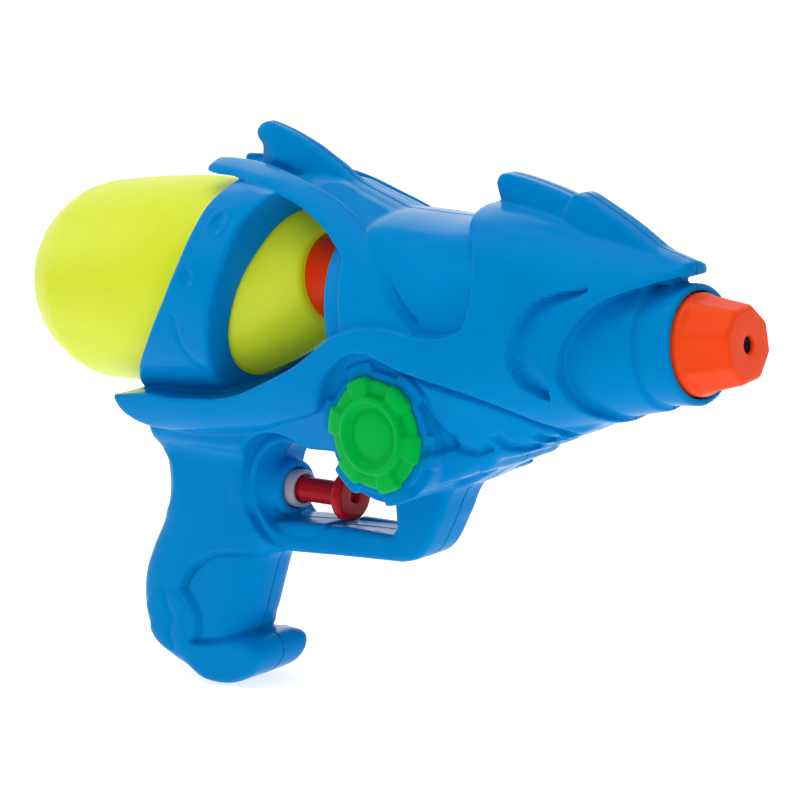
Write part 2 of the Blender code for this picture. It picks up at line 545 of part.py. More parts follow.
finish(tank_seal, "tank_seal", RUBBER, (MOUTH_X, 0, TANK_Z))
cap = turned("tank_cap", [(2.0, 59.0), (7.0, 59.0), (PLUG_R, 58.4), (PLUG_R, 56.0), (6.6, 56.0), (6.6, 54.0), (PLUG_R, 54.0),
                          (PLUG_R, 49.2), (10.6, 49.2), (11.3, 48.5), (11.3, SHOULDER_X + GAP), (NECK_R + GAP, SHOULDER_X + GAP),
                          (NECK_R + GAP, MOUTH_X + 1.6), (2.0, MOUTH_X + 1.6)], (0, 0, TANK_Z), 'X', 28)
finish(cap, "tank_cap", RED_CAP, (SHOULDER_X, 0, TANK_Z))


def o_ring(name, major, minor, at, axis='X', steps=22):
    """A seal ring: a small circle turned about the axis."""
    ring = [(major + minor * math.cos(math.radians(a)), -minor * math.sin(math.radians(a))) for a in range(0, 360, 60)]
    return turned(name, ring, at, axis, steps)


finish(o_ring("cap_o_ring", 7.3, 0.45, (55.0, 0, TANK_Z)), "cap_o_ring", RUBBER, (55.0, 0, TANK_Z))
dip = tube("dip_tube", smooth_line([(53.0, 0, TANK_Z), (45.0, 0, TANK_Z), (36.0, 0, 66.4), (20.0, 0, 62.6), (0.0, 0, 55.0),
                                    (-14.0, 0, 48.8), (-24.0, 0, 44.4)], 2), 1.6, 0.5)
finish(dip, "dip_tube", HOSE, (53.0, 0, TANK_Z))

spout = turned("tank_spout", [(0.0, 70.0), (0.9, 70.0), (BARB_R, 69.2), (BARB_R, 61.6), (12.0, 61.6), (12.0, 58.7), (SPOUT_R, 58.7), (SPOUT_R, 50.2),
                              (8.4, 50.2), (8.0, 50.8), (8.0, 59.6), (0.0, 59.6)], (0, 0, TANK_Z), 'X', 26)
spout = cut(spout, rod("spout_bore", 0.6, (55.0, 0, TANK_Z), (80.0, 0, TANK_Z), 12))
finish(spout, "tank_spout", NATURAL, (58.7, 0, TANK_Z))

# ---------------------------------------------------------------- muzzle: jet pipe and nozzle
jet = turned("jet_insert", [(0.0, 152.0), (4.0, 152.0), (4.4, 151.6), (4.4, 148.6), (3.3, 148.6), (3.3, 147.0), (4.4, 147.0), (4.4, 142.4),
                            (6.6, 142.4), (6.6, 140.9), (5.0, 140.9), (5.0, 133.3), (7.4, 133.3), (7.4, 131.3), (BARB_R, 131.3),
                            (BARB_R, 122.8), (0.9, 122.0), (0.0, 122.0)], (0, 0, BARREL_Z), 'X', 20)
jet = cut(jet, rod("jet_bore", 1.0, (135.0, 0, BARREL_Z), (170.0, 0, BARREL_Z), 12), rod("jet_feed", 0.7, (110.0, 0, BARREL_Z), (136.0, 0, BARREL_Z), 12))
finish(jet, "jet_insert", NATURAL, (131.3, 0, BARREL_Z))
finish(o_ring("nozzle_seal", 4.05, 0.42, (147.8, 0, BARREL_Z)), "nozzle_seal", RUBBER, (147.8, 0, BARREL_Z))


def facet_ring(x, r, flats, count=32, turn=18.0):
    """A ring across the muzzle: round at flats 0, eight-sided with corner radius r at flats 1."""
    ring = []
    for i in range(count):
        a = 2 * math.pi * i / count
        local = (a - math.radians(turn) + math.pi / 8) % (math.pi / 4) - math.pi / 8
        side = math.cos(math.pi / 8) / math.cos(math.pi / 8 - abs(local))
        k = r * (1 - flats + flats * side)
        ring.append((x, -k * math.cos(a), BARREL_Z + k * math.sin(a)))
    return ring


nozzle = loft("nozzle", [facet_ring(142.8, 11.5, 0), facet_ring(143.2, 11.9, 0), facet_ring(147.2, 11.9, 0), facet_ring(148.0, 11.3, 0.3),
                         facet_ring(NOZZLE_X - 0.7, 9.2, 1), facet_ring(NOZZLE_X, 8.6, 1)])
nozzle = cut(nozzle, turned("nozzle_bore", [(0.0, 152.6), (4.75, 152.6), (4.75, 140.0), (0.0, 140.0)], (0, 0, BARREL_Z), 'X', 28),
             turned("nozzle_jet", [(0.0, 170.0), (2.1, 170.0), (2.1, 158.0), (1.0, 158.0), (1.0, 150.0), (0.0, 150.0)], (0, 0, BARREL_Z), 'X', 16))
finish(nozzle, "nozzle", ORANGE, (147.0, 0, BARREL_Z))

# ---------------------------------------------------------------- pump: cylinder, piston rod, button, spring
cylinder = turned("pump_cylinder", [(3.9, PUMP_FRONT_X), (PUMP_R - 0.4, PUMP_FRONT_X), (PUMP_R, PUMP_FRONT_X - 0.4), (PUMP_R, PUMP_REAR_X),
                                    (PUMP_BORE_R, PUMP_REAR_X), (PUMP_BORE_R, 16.6), (3.5, 16.6), (3.5, 18.2), (3.9, 18.2)],
                  (0, 0, PUMP_Z), 'X', 24)
finish(on_pump_axis(cylinder), "pump_cylinder", GREY, (0, 0, PUMP_Z))
piston = turned("piston_rod", [(0.0, TRIGGER_HEAD_X + 1.7), (1.45, TRIGGER_HEAD_X + 1.7), (1.45, TRIGGER_HEAD_X - GAP),
                               (TRIGGER_ROD_R, TRIGGER_HEAD_X - GAP), (TRIGGER_ROD_R, 16.2), (3.85, 16.2), (3.85, 14.6), (2.65, 14.6),
                               (2.65, 13.0), (3.85, 13.0), (3.85, 11.2), (0.0, 11.2)], (0, 0, PUMP_Z), 'X', 20)
finish(on_pump_axis(piston), "piston_rod", DARK_RED, (TRIGGER_HEAD_X, 0, PUMP_Z))
button = turned("trigger", [(1.75, TRIGGER_HEAD_X + 3.2), (5.9, TRIGGER_HEAD_X + 3.2), (TRIGGER_HEAD_R, TRIGGER_HEAD_X + 2.4),
                            (TRIGGER_HEAD_R, TRIGGER_HEAD_X + 0.6), (TRIGGER_HEAD_R - 0.6, TRIGGER_HEAD_X),
                            (1.75, TRIGGER_HEAD_X)], (0, 0, PUMP_Z), 'X', 28)
finish(on_pump_axis(button), "trigger", DARK_RED, (TRIGGER_HEAD_X, 0, PUMP_Z))
finish(on_pump_axis(o_ring("piston_seal", 3.45, 0.42, (13.8, 0, PUMP_Z))), "piston_seal", RUBBER, (13.8, 0, PUMP_Z))
finish(on_pump_axis(coil("return_spring", -11.4, 10.5, PUMP_Z, 3.0, 0.35, 7, 10)), "return_spring", STEEL, (-11.8, 0, PUMP_Z))

# ---------------------------------------------------------------- valve body with its two ball valves
SEAT_Z, CHAMBER_TOP_Z, TOWER_Z = 16.5, 21.0, 25.0
valve = on_pump_axis(turned("valve_body", [(0.0, -6.6), (7.0, -6.6), (7.0, -13.0), (0.0, -13.0)], (0, 0, PUMP_Z), 'X', 28))
valve = join(valve, box("valve_base", (-19.2, -7.6, 7.0), (-11.6, 7.6, 16.0)))
for side in (-1, 1):
    valve = join(valve, rod("tower", 3.6, (VALVE_X, side * VALVE_Y, 12.0), (VALVE_X, side * VALVE_Y, TOWER_Z), 16))
valve = cut(valve, on_pump_axis(rod("cup", PUMP_R + GAP + 0.05, (-12.1, 0, PUMP_Z), (0, 0, PUMP_Z), 28)),
            rod("port", 1.3, (VALVE_X, 0, PUMP_Z), (-10.0, 0, PUMP_Z), 12),
            rod("gallery", 1.3, (VALVE_X, -VALVE_Y - 0.4, PUMP_Z), (VALVE_X, VALVE_Y + 0.4, PUMP_Z), 12),
            rod("inlet_riser", 0.9, (VALVE_X, -VALVE_Y, PUMP_Z), (VALVE_X, -VALVE_Y, 15.6), 12),
            rod("inlet_chamber", 1.9, (VALVE_X, -VALVE_Y, 15.4), (VALVE_X, -VALVE_Y, CHAMBER_TOP_Z + 0.2), 16),
            rod("inlet_top", 2.55, (VALVE_X, -VALVE_Y, CHAMBER_TOP_Z), (VALVE_X, -VALVE_Y, 30.0), 16),
            rod("outlet_riser", 0.9, (VALVE_X, VALVE_Y, PUMP_Z), (VALVE_X, VALVE_Y, SEAT_Z + 0.2), 12),
            rod("outlet_chamber", 1.9, (VALVE_X, VALVE_Y, SEAT_Z), (VALVE_X, VALVE_Y, CHAMBER_TOP_Z + 0.2), 16),
            rod("outlet_top", 2.55, (VALVE_X, VALVE_Y, CHAMBER_TOP_Z), (VALVE_X, VALVE_Y, 30.0), 16))
finish(valve, "valve_body", NATURAL, (VALVE_X, 0, PUMP_Z))

STOP_Z = CHAMBER_TOP_Z + 0.4
for name, side in (("inlet_elbow", -1), ("outlet_elbow", 1)):
    y = side * VALVE_Y
    elbow = turned(name, [(0.0, 31.6), (2.0, 31.6), (2.6, 31.0), (2.6, 26.6), (3.5, 26.6), (3.5, TOWER_Z + GAP), (2.2, TOWER_Z + GAP),
                          (2.2, STOP_Z), (0.0, STOP_Z)], (VALVE_X, y, 0), 'Z', 16)
    elbow = join(elbow, turned("barb", [(0.0, -5.5), (0.9, -5.5), (BARB_R, -6.2), (BARB_R, VALVE_X), (0.0, VALVE_X)], (0, y, ELBOW_Z), 'X', 12))
    elbow = cut(elbow, rod("drop", 0.9, (VALVE_X, y, STOP_Z - 1.0), (VALVE_X, y, ELBOW_Z), 12),
                rod("feed", 0.7, (VALVE_X, y, ELBOW_Z), (0.0, y, ELBOW_Z), 12))
    finish(elbow, name, NATURAL, (VALVE_X, y, ELBOW_Z))


def ball(name, at, r):
    bm = bmesh.new()
    bmesh.ops.create_uvsphere(bm, u_segments=12, v_segments=7, radius=r * MM)
    bmesh.ops.translate(bm, vec=[c * MM for c in at], verts=bm.verts)
    mesh = bpy.data.meshes.new(name)
    bm.to_mesh(mesh)
    bm.free()
    return solid(mesh, name)


SEATED = math.sqrt(BALL_R ** 2 - 0.9 ** 2) + 0.15
inlet_at = (VALVE_X, -VALVE_Y, STOP_Z - SEATED)
outlet_at = (VALVE_X, VALVE_Y, SEAT_Z + SEATED)
finish(ball("inlet_ball", inlet_at, BALL_R), "inlet_ball", STEEL, inlet_at)
finish(ball("outlet_ball", outlet_at, BALL_R), "outlet_ball", STEEL, outlet_at)
inlet_spring = coil("inlet_spring", 15.9, 18.35, 0.0, 1.25, 0.2, 3, 9)
inlet_spring.data.transform(Matrix.Translation(Vector((VALVE_X, -VALVE_Y, 0)) * MM) @ Matrix.Rotation(math.radians(-90), 4, 'Y'))
finish(inlet_spring, "inlet_spring", STEEL, (VALVE_X, -VALVE_Y, 15.7))

# ---------------------------------------------------------------- hoses held inside the casing
SUCTION = [(-10.8, -4.2, ELBOW_Z), (0, -4.2, ELBOW_Z), (20, -4.2, 29.6), (40, -4.2, 30.0), (56, -4.4, 30.6), (68, -4.6, 33.4), (77, -4.0, 40.0),
           (83, -2.6, 50.0), (84, -1.5, 58.0), (82, -0.6, 64.2), (76, 0, TANK_Z), (69, 0, TANK_Z), (62.6, 0, TANK_Z)]
DISCHARGE = [(-10.8, 4.2, ELBOW_Z), (0, 4.2, ELBOW_Z), (20, 4.2, 29.6), (40, 4.2, 30.0), (60, 4.4, 31.0), (78, 4.4, 36.0), (94, 3.0, 43.0),
             (108, 1.0, 48.4), (118, 0, BARREL_Z), (124, 0, BARREL_Z), (130.8, 0, BARREL_Z)]
finish(tube("suction_hose", smooth_line(SUCTION, 2), HOSE_R, HOSE_WALL), "suction_hose", HOSE, (VALVE_X, -VALVE_Y, ELBOW_Z))
finish(tube("discharge_hose", smooth_line(DISCHARGE, 2), HOSE_R, HOSE_WALL), "discharge_hose", HOSE, (VALVE_X, VALVE_Y, ELBOW_Z))

# ---------------------------------------------------------------- side dials
dial = turned("dial", [(0.0, DIAL_FACE_Y - 1.6), (7.9, DIAL_FACE_Y - 1.6), (7.9, DIAL_FACE_Y), (9.6, DIAL_FACE_Y), (9.9, DIAL_FACE_Y - 0.8),
                       (13.6, DIAL_FACE_Y - 1.0), (DIAL_R, DIAL_FACE_Y - 1.8), (DIAL_R, FLANGE_Y + GAP), (3.7, FLANGE_Y + GAP),
                       (3.7, 9.0), (4.9, 9.0), (4.9, 7.9), (0.0, 7.9)], (DIAL_X, 0, DIAL_Z), 'Y', 30)
dial_right = mirrored(dial, "dial_right")
finish(dial, "dial_left", GREEN, (DIAL_X, 0, DIAL_Z))
finish(dial_right, "dial_right", GREEN, (DIAL_X, 0, DIAL_Z))
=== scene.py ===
import json
import math

import bmesh
import bpy
import numpy as np
from mathutils import Matrix, Vector


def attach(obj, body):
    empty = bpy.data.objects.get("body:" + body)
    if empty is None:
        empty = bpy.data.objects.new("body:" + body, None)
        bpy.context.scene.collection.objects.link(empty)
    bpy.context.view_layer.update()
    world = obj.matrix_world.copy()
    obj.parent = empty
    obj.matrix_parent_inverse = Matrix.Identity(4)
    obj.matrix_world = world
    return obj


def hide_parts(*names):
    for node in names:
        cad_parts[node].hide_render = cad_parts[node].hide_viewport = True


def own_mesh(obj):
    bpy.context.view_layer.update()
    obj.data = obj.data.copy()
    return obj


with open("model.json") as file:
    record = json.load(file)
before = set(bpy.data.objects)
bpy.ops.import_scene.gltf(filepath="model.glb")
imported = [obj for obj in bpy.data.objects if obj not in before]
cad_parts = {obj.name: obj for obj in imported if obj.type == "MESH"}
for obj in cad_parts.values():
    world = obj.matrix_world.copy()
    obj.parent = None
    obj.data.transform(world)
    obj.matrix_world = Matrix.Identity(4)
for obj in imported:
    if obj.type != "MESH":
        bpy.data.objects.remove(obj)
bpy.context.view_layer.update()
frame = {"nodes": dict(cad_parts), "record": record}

MM = 0.001
F32 = np.float32

TANK_Z, BARREL_Z, PUMP_Z = 67.0, 50.0, 11.5
DIAL_X, DIAL_Z = 68.5, 31.6
FLANGE_R, FLANGE_Y = 17.4, 24.6


# ---------------------------------------------------------------- curves and tables
def smooth_line(points, steps=6, closed=False):
    """Points on a smooth curve through the given points."""
    n = len(points)
    out = []
    for i in range(n if closed else n - 1):
        pick = [points[(i + k) % n] if closed else points[min(max(i + k, 0), n - 1)] for k in (-1, 0, 1, 2)]
        for s in range(steps):
            t = s / steps
            out.append(tuple(
                0.5 * (2 * b + (c - a) * t + (2 * a - 5 * b + 4 * c - d) * t * t + (3 * b - a - 3 * c + d) * t ** 3)
                for a, b, c, d in zip(*pick)))
    if not closed:
        out.append(tuple(points[-1]))
    return out


def table(xs, vs, at):
    """Smooth values at the given places through a table."""
    xs, vs = np.array(xs, float), np.array(vs, float)
    slope = np.gradient(vs, xs)
    i = np.clip(np.searchsorted(xs, at) - 1, 0, len(xs) - 2)
    h = xs[i + 1] - xs[i]
    t = np.clip((at - xs[i]) / h, 0, 1)
    return ((2 * t ** 3 - 3 * t ** 2 + 1) * vs[i] + (t ** 3 - 2 * t ** 2 + t) * h * slope[i]
            + (3 * t ** 2 - 2 * t ** 3) * vs[i + 1] + (t ** 3 - t ** 2) * h * slope[i + 1])


# ---------------------------------------------------------------- the casing as a distance field on a grid (one half; y counts outwards)
STEP = 0.5
XS = np.arange(-40.0, 151.5, STEP).astype(F32)
YS = np.arange(-1.0, 33.5, STEP).astype(F32)
ZS = np.arange(-43.5, 109.5, STEP).astype(F32)
X, Y, Z = XS[:, None, None], YS[None, :, None], ZS[None, None, :]


def along(xs, vs):
    return table(xs, vs, XS).astype(F32)[:, None, None]


def smax(a, b, k):
    """Larger of two fields, with the edge between them rounded over about k."""
    h = np.maximum(k - np.abs(a - b), 0)
    return np.maximum(a, b) + h * h * (0.25 / k)


def smin(a, b, k):
    h = np.maximum(k - np.abs(a - b), 0)
    return np.minimum(a, b) - h * h * (0.25 / k)


def step(low, high, v):
    t = np.clip((v - low) / (high - low), 0, 1)
    return (t * t * (3 - 2 * t)).astype(F32)


def line(points, closed=False):
    """Distance in side view from a line through the points (x, z)."""
    px, pz = XS[:, None], ZS[None, :]
    best = np.full((len(XS), len(ZS)), 1e9, F32)
    for (ax, az), (bx, bz) in zip(points, points[1:] + (points[:1] if closed else [])):
        ex, ez = bx - ax, bz - az
        t = np.clip(((px - ax) * ex + (pz - az) * ez) / max(ex * ex + ez * ez, 1e-9), 0, 1)
        best = np.minimum(best, (px - ax - ex * t) ** 2 + (pz - az - ez * t) ** 2)
    return np.sqrt(best).astype(F32)[:, None, :]


def area(outline):
    """Distance in side view from a closed outline, negative inside it."""
    px, pz = XS[:, None], ZS[None, :]
    inside = np.zeros((len(XS), len(ZS)), bool)
    for (ax, az), (bx, bz) in zip(outline, outline[1:] + outline[:1]):
        if az != bz:
            inside ^= ((az > pz) != (bz > pz)) & (px < (bx - ax) * (pz - az) / (bz - az) + ax)
    d = line(outline, True)
    return np.where(inside[:, None, :], -d, d)


def round_x(z, r):
    """Distance from a round bar along X of radius r, which may vary along X."""
    return np.sqrt(Y * Y + (Z - z) ** 2) - r


def oval(zc, w, up, down, n_up, n_down):
    """Distance from a body whose cross-section is a rounded oval, with its own height and squareness above and below zc."""
    dz = Z - zc
    above = dz > 0
    h = np.where(above, up, down)
    n = np.where(above, n_up, n_down).astype(F32)
    a = np.abs(Y) / w + F32(1e-4)
    b = np.abs(dz) / h + F32(1e-4)
    an, bn = np.power(a, n), np.power(b, n)
    q = an + bn
    f = np.power(q, 1 / n)
    g = f / q * np.sqrt((an / a / w) ** 2 + (bn / b / h) ** 2)
    return ((f - 1) / np.maximum(g, 0.4 / np.maximum(w, h))).astype(F32)


SHELL_TOP = smooth_line([(-23.2, 39.6), (-10.7, 40.2), (-1.6, 39.4), (9.2, 39.3), (18.2, 39.7), (27.1, 41.6), (45.0, 47.9),
                         (55.6, 53.6), (61.0, 56.3), (70.7, 58.1), (78.4, 57.2), (85.0, 55.6), (93.0, 55.4), (98.6, 57.3),
                         (101.0, 62.0), (101.4, 67.4), (99.4, 75.0), (94.8, 80.4), (88.0, 90.0)])
SHELL_FRONT = smooth_line([(147.0, 90.0), (147.6, 68.0), (145.5, 66.0), (141.0, 65.0), (131.6, 62.1), (125.8, 57.2),
                           (122.3, 51.7), (121.0, 44.6), (122.6, 37.5), (127.0, 33.2), (127.5, 30.0)])
SHELL_BOTTOM = smooth_line([(121.0, 28.6), (116.0, 29.2), (112.6, 31.4), (109.6, 33.9), (105.6, 36.9), (98.8, 40.5), (90.1, 43.7), (82.8, 46.0), (76.0, 48.3),
                            (71.5, 50.6), (66.4, 51.6), (60.3, 49.4), (54.8, 44.6), (51.4, 38.9), (48.2, 36.4), (41.3, 34.5), (27.2, 31.1),
                            (14.8, 29.0), (5.9, 28.2), (-6.6, 28.8), (-15.6, 30.6), (-21.4, 34.4), (-23.4, 38.2)])
BAND = smooth_line([(17.4, 95.2), (17.5, 93.3), (15.6, 89.1), (14.3, 81.9), (11.5, 74.1), (5.7, 64.9), (-3.8, 54.8),
                    (-12.3, 47.6), (-19.5, 41.0), (-19.5, 36.0)]) + \
    smooth_line([(6.0, 36.0), (10.5, 40.0), (13.6, 46.4), (19.5, 57.6), (24.5, 67.8), (28.6, 76.3), (31.8, 84.7), (36.5, 90.0)])
ARCH = smooth_line([(85.4, 54.0), (83.6, 56.4), (79.8, 61.0), (75.8, 65.8), (71.4, 71.2), (67.0, 76.9), (62.0, 82.4)]) + [(56.0, 92.0), (40.0, 102.0), (20.0, 106.0), (7.6, 104.0), (6.3, 99.0)] + \
    smooth_line([(6.1, 97.0), (7.4, 95.8), (11.6, 94.9), (16.6, 94.3), (21.6, 93.2), (27.5, 91.9), (33.2, 90.2), (41.4, 87.2), (44.9, 85.5), (49.0, 83.1),
                 (53.3, 80.2), (56.4, 77.6), (60.1, 74.0), (60.9, 69.4), (60.6, 60.1), (59.3, 54.0)])
ARCH_RIM = [(0.0, 4.8), (12.0, 4.9), (20.0, 5.4), (25.0, 6.4), (30.0, 7.7), (35.0, 8.9), (39.0, 9.7), (45.0, 10.4), (50.0, 10.7), (53.3, 11.4), (56.3, 12.3),
            (59.8, 13.6), (62.0, 14.6), (64.0, 15.8), (67.0, 18.4), (72.0, 22.6)]   # x, y of the rib's upper edge
REAR_FIN = smooth_line([(18.0, 92.0), (18.2, 97.3), (18.8, 101.0), (17.6, 102.8), (17.2, 104.6), (18.3, 106.2), (20.8, 107.1), (23.4, 106.5), (29.0, 104.2),
                        (35.5, 100.7), (39.7, 97.9), (43.9, 94.9), (48.0, 91.5), (51.0, 89.7), (58.5, 86.3), (66.0, 82.6)], 4) + [(66.0, 76.0), (40.0, 86.0)]
FIN_REAR = smooth_line([(96.2, 78.0), (95.2, 84.0), (94.3, 88.4), (94.9, 90.2), (96.8, 91.1), (102.5, 89.8), (111.0, 86.9), (116.4, 84.6),
                        (121.0, 82.4)], 4) + [(124.0, 70.0), (108.0, 68.0)]
FIN_FRONT = smooth_line([(111.4, 77.0), (113.6, 81.2), (116.0, 84.4), (118.2, 85.6), (123.0, 83.0), (130.4, 78.3), (136.2, 73.9), (140.8, 70.2)], 4) + \
    [(143.0, 64.0), (120.0, 66.0), (110.0, 73.0)]
GRIP = smooth_line([(-24.9, 25.0), (-22.8, 21.0), (-22.5, 14.0), (-24.3, 7.0), (-27.0, 2.4), (-30.9, -3.0), (-35.1, -10.2),
                    (-37.0, -17.4), (-36.8, -25.6), (-33.5, -32.4), (-26.4, -37.0), (-17.3, -40.0), (-9.9, -41.0), (-4.0, -40.4),
                    (2.0, -38.0), (5.4, -34.8), (6.4, -32.0), (5.8, -29.8), (3.6, -28.2), (0.9, -27.6), (1.0, -25.6), (2.6, -22.6),
                    (6.2, -14.8), (9.2, -8.6), (12.0, -5.4)], 4) + [(15.0, -4.6), (18.0, -4.2), (18.0, 0.0), (26.0, 8.0), (26.0, 33.0), (-24.0, 36.0), (-27.0, 31.5)]
GUARD = smooth_line([(56.5, -4.6), (61.4, -3.6), (65.0, -1.0), (68.0, 3.0), (71.0, 7.6), (73.4, 11.8), (76.0, 14.6), (80.0, 15.8),
                     (84.0, 17.5), (89.6, 20.5), (93.0, 21.9), (95.0, 24.3), (99.4, 25.1), (102.6, 26.0), (104.2, 27.4), (110.0, 28.2), (115.0, 29.8), (122.0, 32.6)], 4) + \
    [(118.0, 40.0), (60.0, 52.0), (40.0, 36.0), (0.0, 34.0), (6.0, -3.5)]
OPENING = [(28.0, 4.2), (31.8, 4.0), (54.4, 2.5), (56.2, 4.2), (56.6, 18.0), (55.4, 21.6), (52.0, 23.2), (33.0, 23.9), (28.0, 24.4)]
LOWER = [(-30.0, 29.0, 13.4, 36.0, 16.4), (0.0, 25.6, 14.0, 33.0, 15.4), (16.0, 24.6, 14.0, 33.0, 15.6), (30.0, 24.3, 14.0, 34.0, 17.4),
         (46.0, 23.8, 14.6, 37.0, 21.2), (54.0, 23.0, 15.8, 41.0, 24.0), (60.0, 17.4, 18.0, 48.0, 26.0), (66.0, 14.6, 19.0, 50.0, 26.8),
         (74.5, 16.8, 18.4, 48.2, 26.6), (84.0, 19.1, 16.8, 44.8, 25.8), (90.0, 20.6, 15.4, 42.4, 24.6), (93.0, 21.7, 14.8, 41.2, 23.8), (95.2, 23.7, 14.2, 40.5, 23.2),
         (99.4, 24.6, 13.0, 39.1, 21.4), (102.4, 25.3, 12.0, 38.2, 19.8), (104.4, 26.5, 11.4, 37.6, 18.8), (112.0, 28.4, 9.0, 35.3, 14.0), (120.0, 31.0, 6.0, 33.5, 9.0)]   # x; bottom z, y; top z, y
BODY = [(-26.0, 58.0, 24.5, 24.0, 30.5), (0.0, 58.0, 26.0, 26.0, 30.5), (30.0, 58.0, 27.2, 26.0, 30.0), (55.0, 57.0, 28.5, 27.0, 29.0),
        (75.0, 56.0, 28.7, 28.2, 28.0), (90.0, 56.0, 27.9, 28.5, 27.6), (100.0, 56.0, 26.8, 28.0, 27.0), (112.0, 55.3, 24.8, 25.6, 25.6),
        (122.0, 54.0, 22.4, 23.2, 22.4), (132.0, 52.4, 20.2, 22.2, 20.0), (140.0, 51.2, 18.6, 20.6, 18.2), (149.0, 50.6, 17.2, 17.7, 16.8)]
SADDLE = [(-2.0, 84.0, 17.4, 15.8, 40.0), (10.0, 84.0, 17.7, 15.6, 40.0), (20.0, 82.5, 19.5, 15.8, 40.0), (30.0, 80.0, 22.0, 16.8, 40.0),
          (42.0, 74.0, 24.8, 19.6, 40.0), (55.0, 66.0, 26.6, 22.0, 40.0), (67.0, 59.5, 27.0, 23.5, 40.0), (80.0, 56.6, 26.8, 25.2, 40.0), (94.0, 56.0, 26.4, 25.6, 40.0)]
DRUM = [(48.0, 56.0, 21.0, 22.6, 20.0), (52.0, 56.0, 23.2, 25.2, 22.0), (56.0, 56.0, 24.3, 26.4, 24.0), (60.0, 56.0, 24.7, 26.9, 24.0), (65.0, 56.0, 25.0, 27.5, 26.0),
        (71.0, 56.0, 24.9, 26.9, 26.0), (78.0, 56.0, 24.6, 25.9, 26.0), (84.0, 56.0, 24.3, 25.2, 26.0), (92.0, 56.0, 24.2, 24.8, 26.0), (108.0, 56.0, 24.0, 24.6, 26.0)]
ROOF_Z = [(14.0, 93.4), (20.0, 93.2), (28.0, 93.2), (33.0, 93.4), (37.0, 93.5), (42.2, 92.4), (48.0, 90.9), (54.0, 88.0), (58.5, 86.0), (69.0, 81.2)]   # x, foot of the rear fin
HOLLOW = [(58.4, 56.0, 12.5, 13.0, 8.0), (64.0, 56.0, 15.0, 17.6, 9.0), (72.0, 56.0, 16.0, 21.0, 10.0), (80.0, 56.0, 19.0, 22.4, 13.0), (90.0, 56.0, 20.5, 23.0, 17.0),
          (98.0, 56.0, 21.0, 23.0, 19.0), (104.0, 55.6, 20.0, 22.0, 19.0), (112.0, 54.4, 18.0, 20.0, 17.0), (116.0, 53.2, 15.6, 17.0, 15.0), (124.0, 51.4, 14.0, 14.0, 14.0),
          (133.6, 50.0, 12.6, 12.6, 12.6)]
TANK_SHAPE = [(27.0 * math.cos(math.radians(a)), -35.0 - 27.0 * math.sin(math.radians(a))) for a in (80, 68, 56, 44, 32, 20, 8)]
TANK_SHAPE += [(27.3, -22.0), (27.2, -10.0), (26.6, 0.0), (25.0, 9.0), (22.4, 18.0), (19.2, 26.0), (15.6, 33.0), (13.0, 37.0)]
SCREWS = [(-28.0, -20.0, 5.0, 7.0, 9.6), (-6.0, -31.0, 5.0, 7.0, 9.6), (66.2, 6.5, 3.4, 5.2, 6.4),
          (101.0, 32.0, 6.0, 9.0, 11.0), (118.0, 71.2, 5.0, 8.0, 11.0), (31.0, 98.4, 1.4, 2.2, 0.0)]


def lofted(rows, n_up=2.0, n_down=2.0):
    xs = [r[0] for r in rows]
    return oval(*[along(xs, [r[k] for r in rows]) for k in (1, 2, 3, 4)], n_up, n_down)


def fin(outline, half, lean):
    """An upright fin that thickens from its rim down."""
    a = area(outline)
    return smax(a, Y - (half + lean * np.clip(-a, 0, 9)), 1.1)


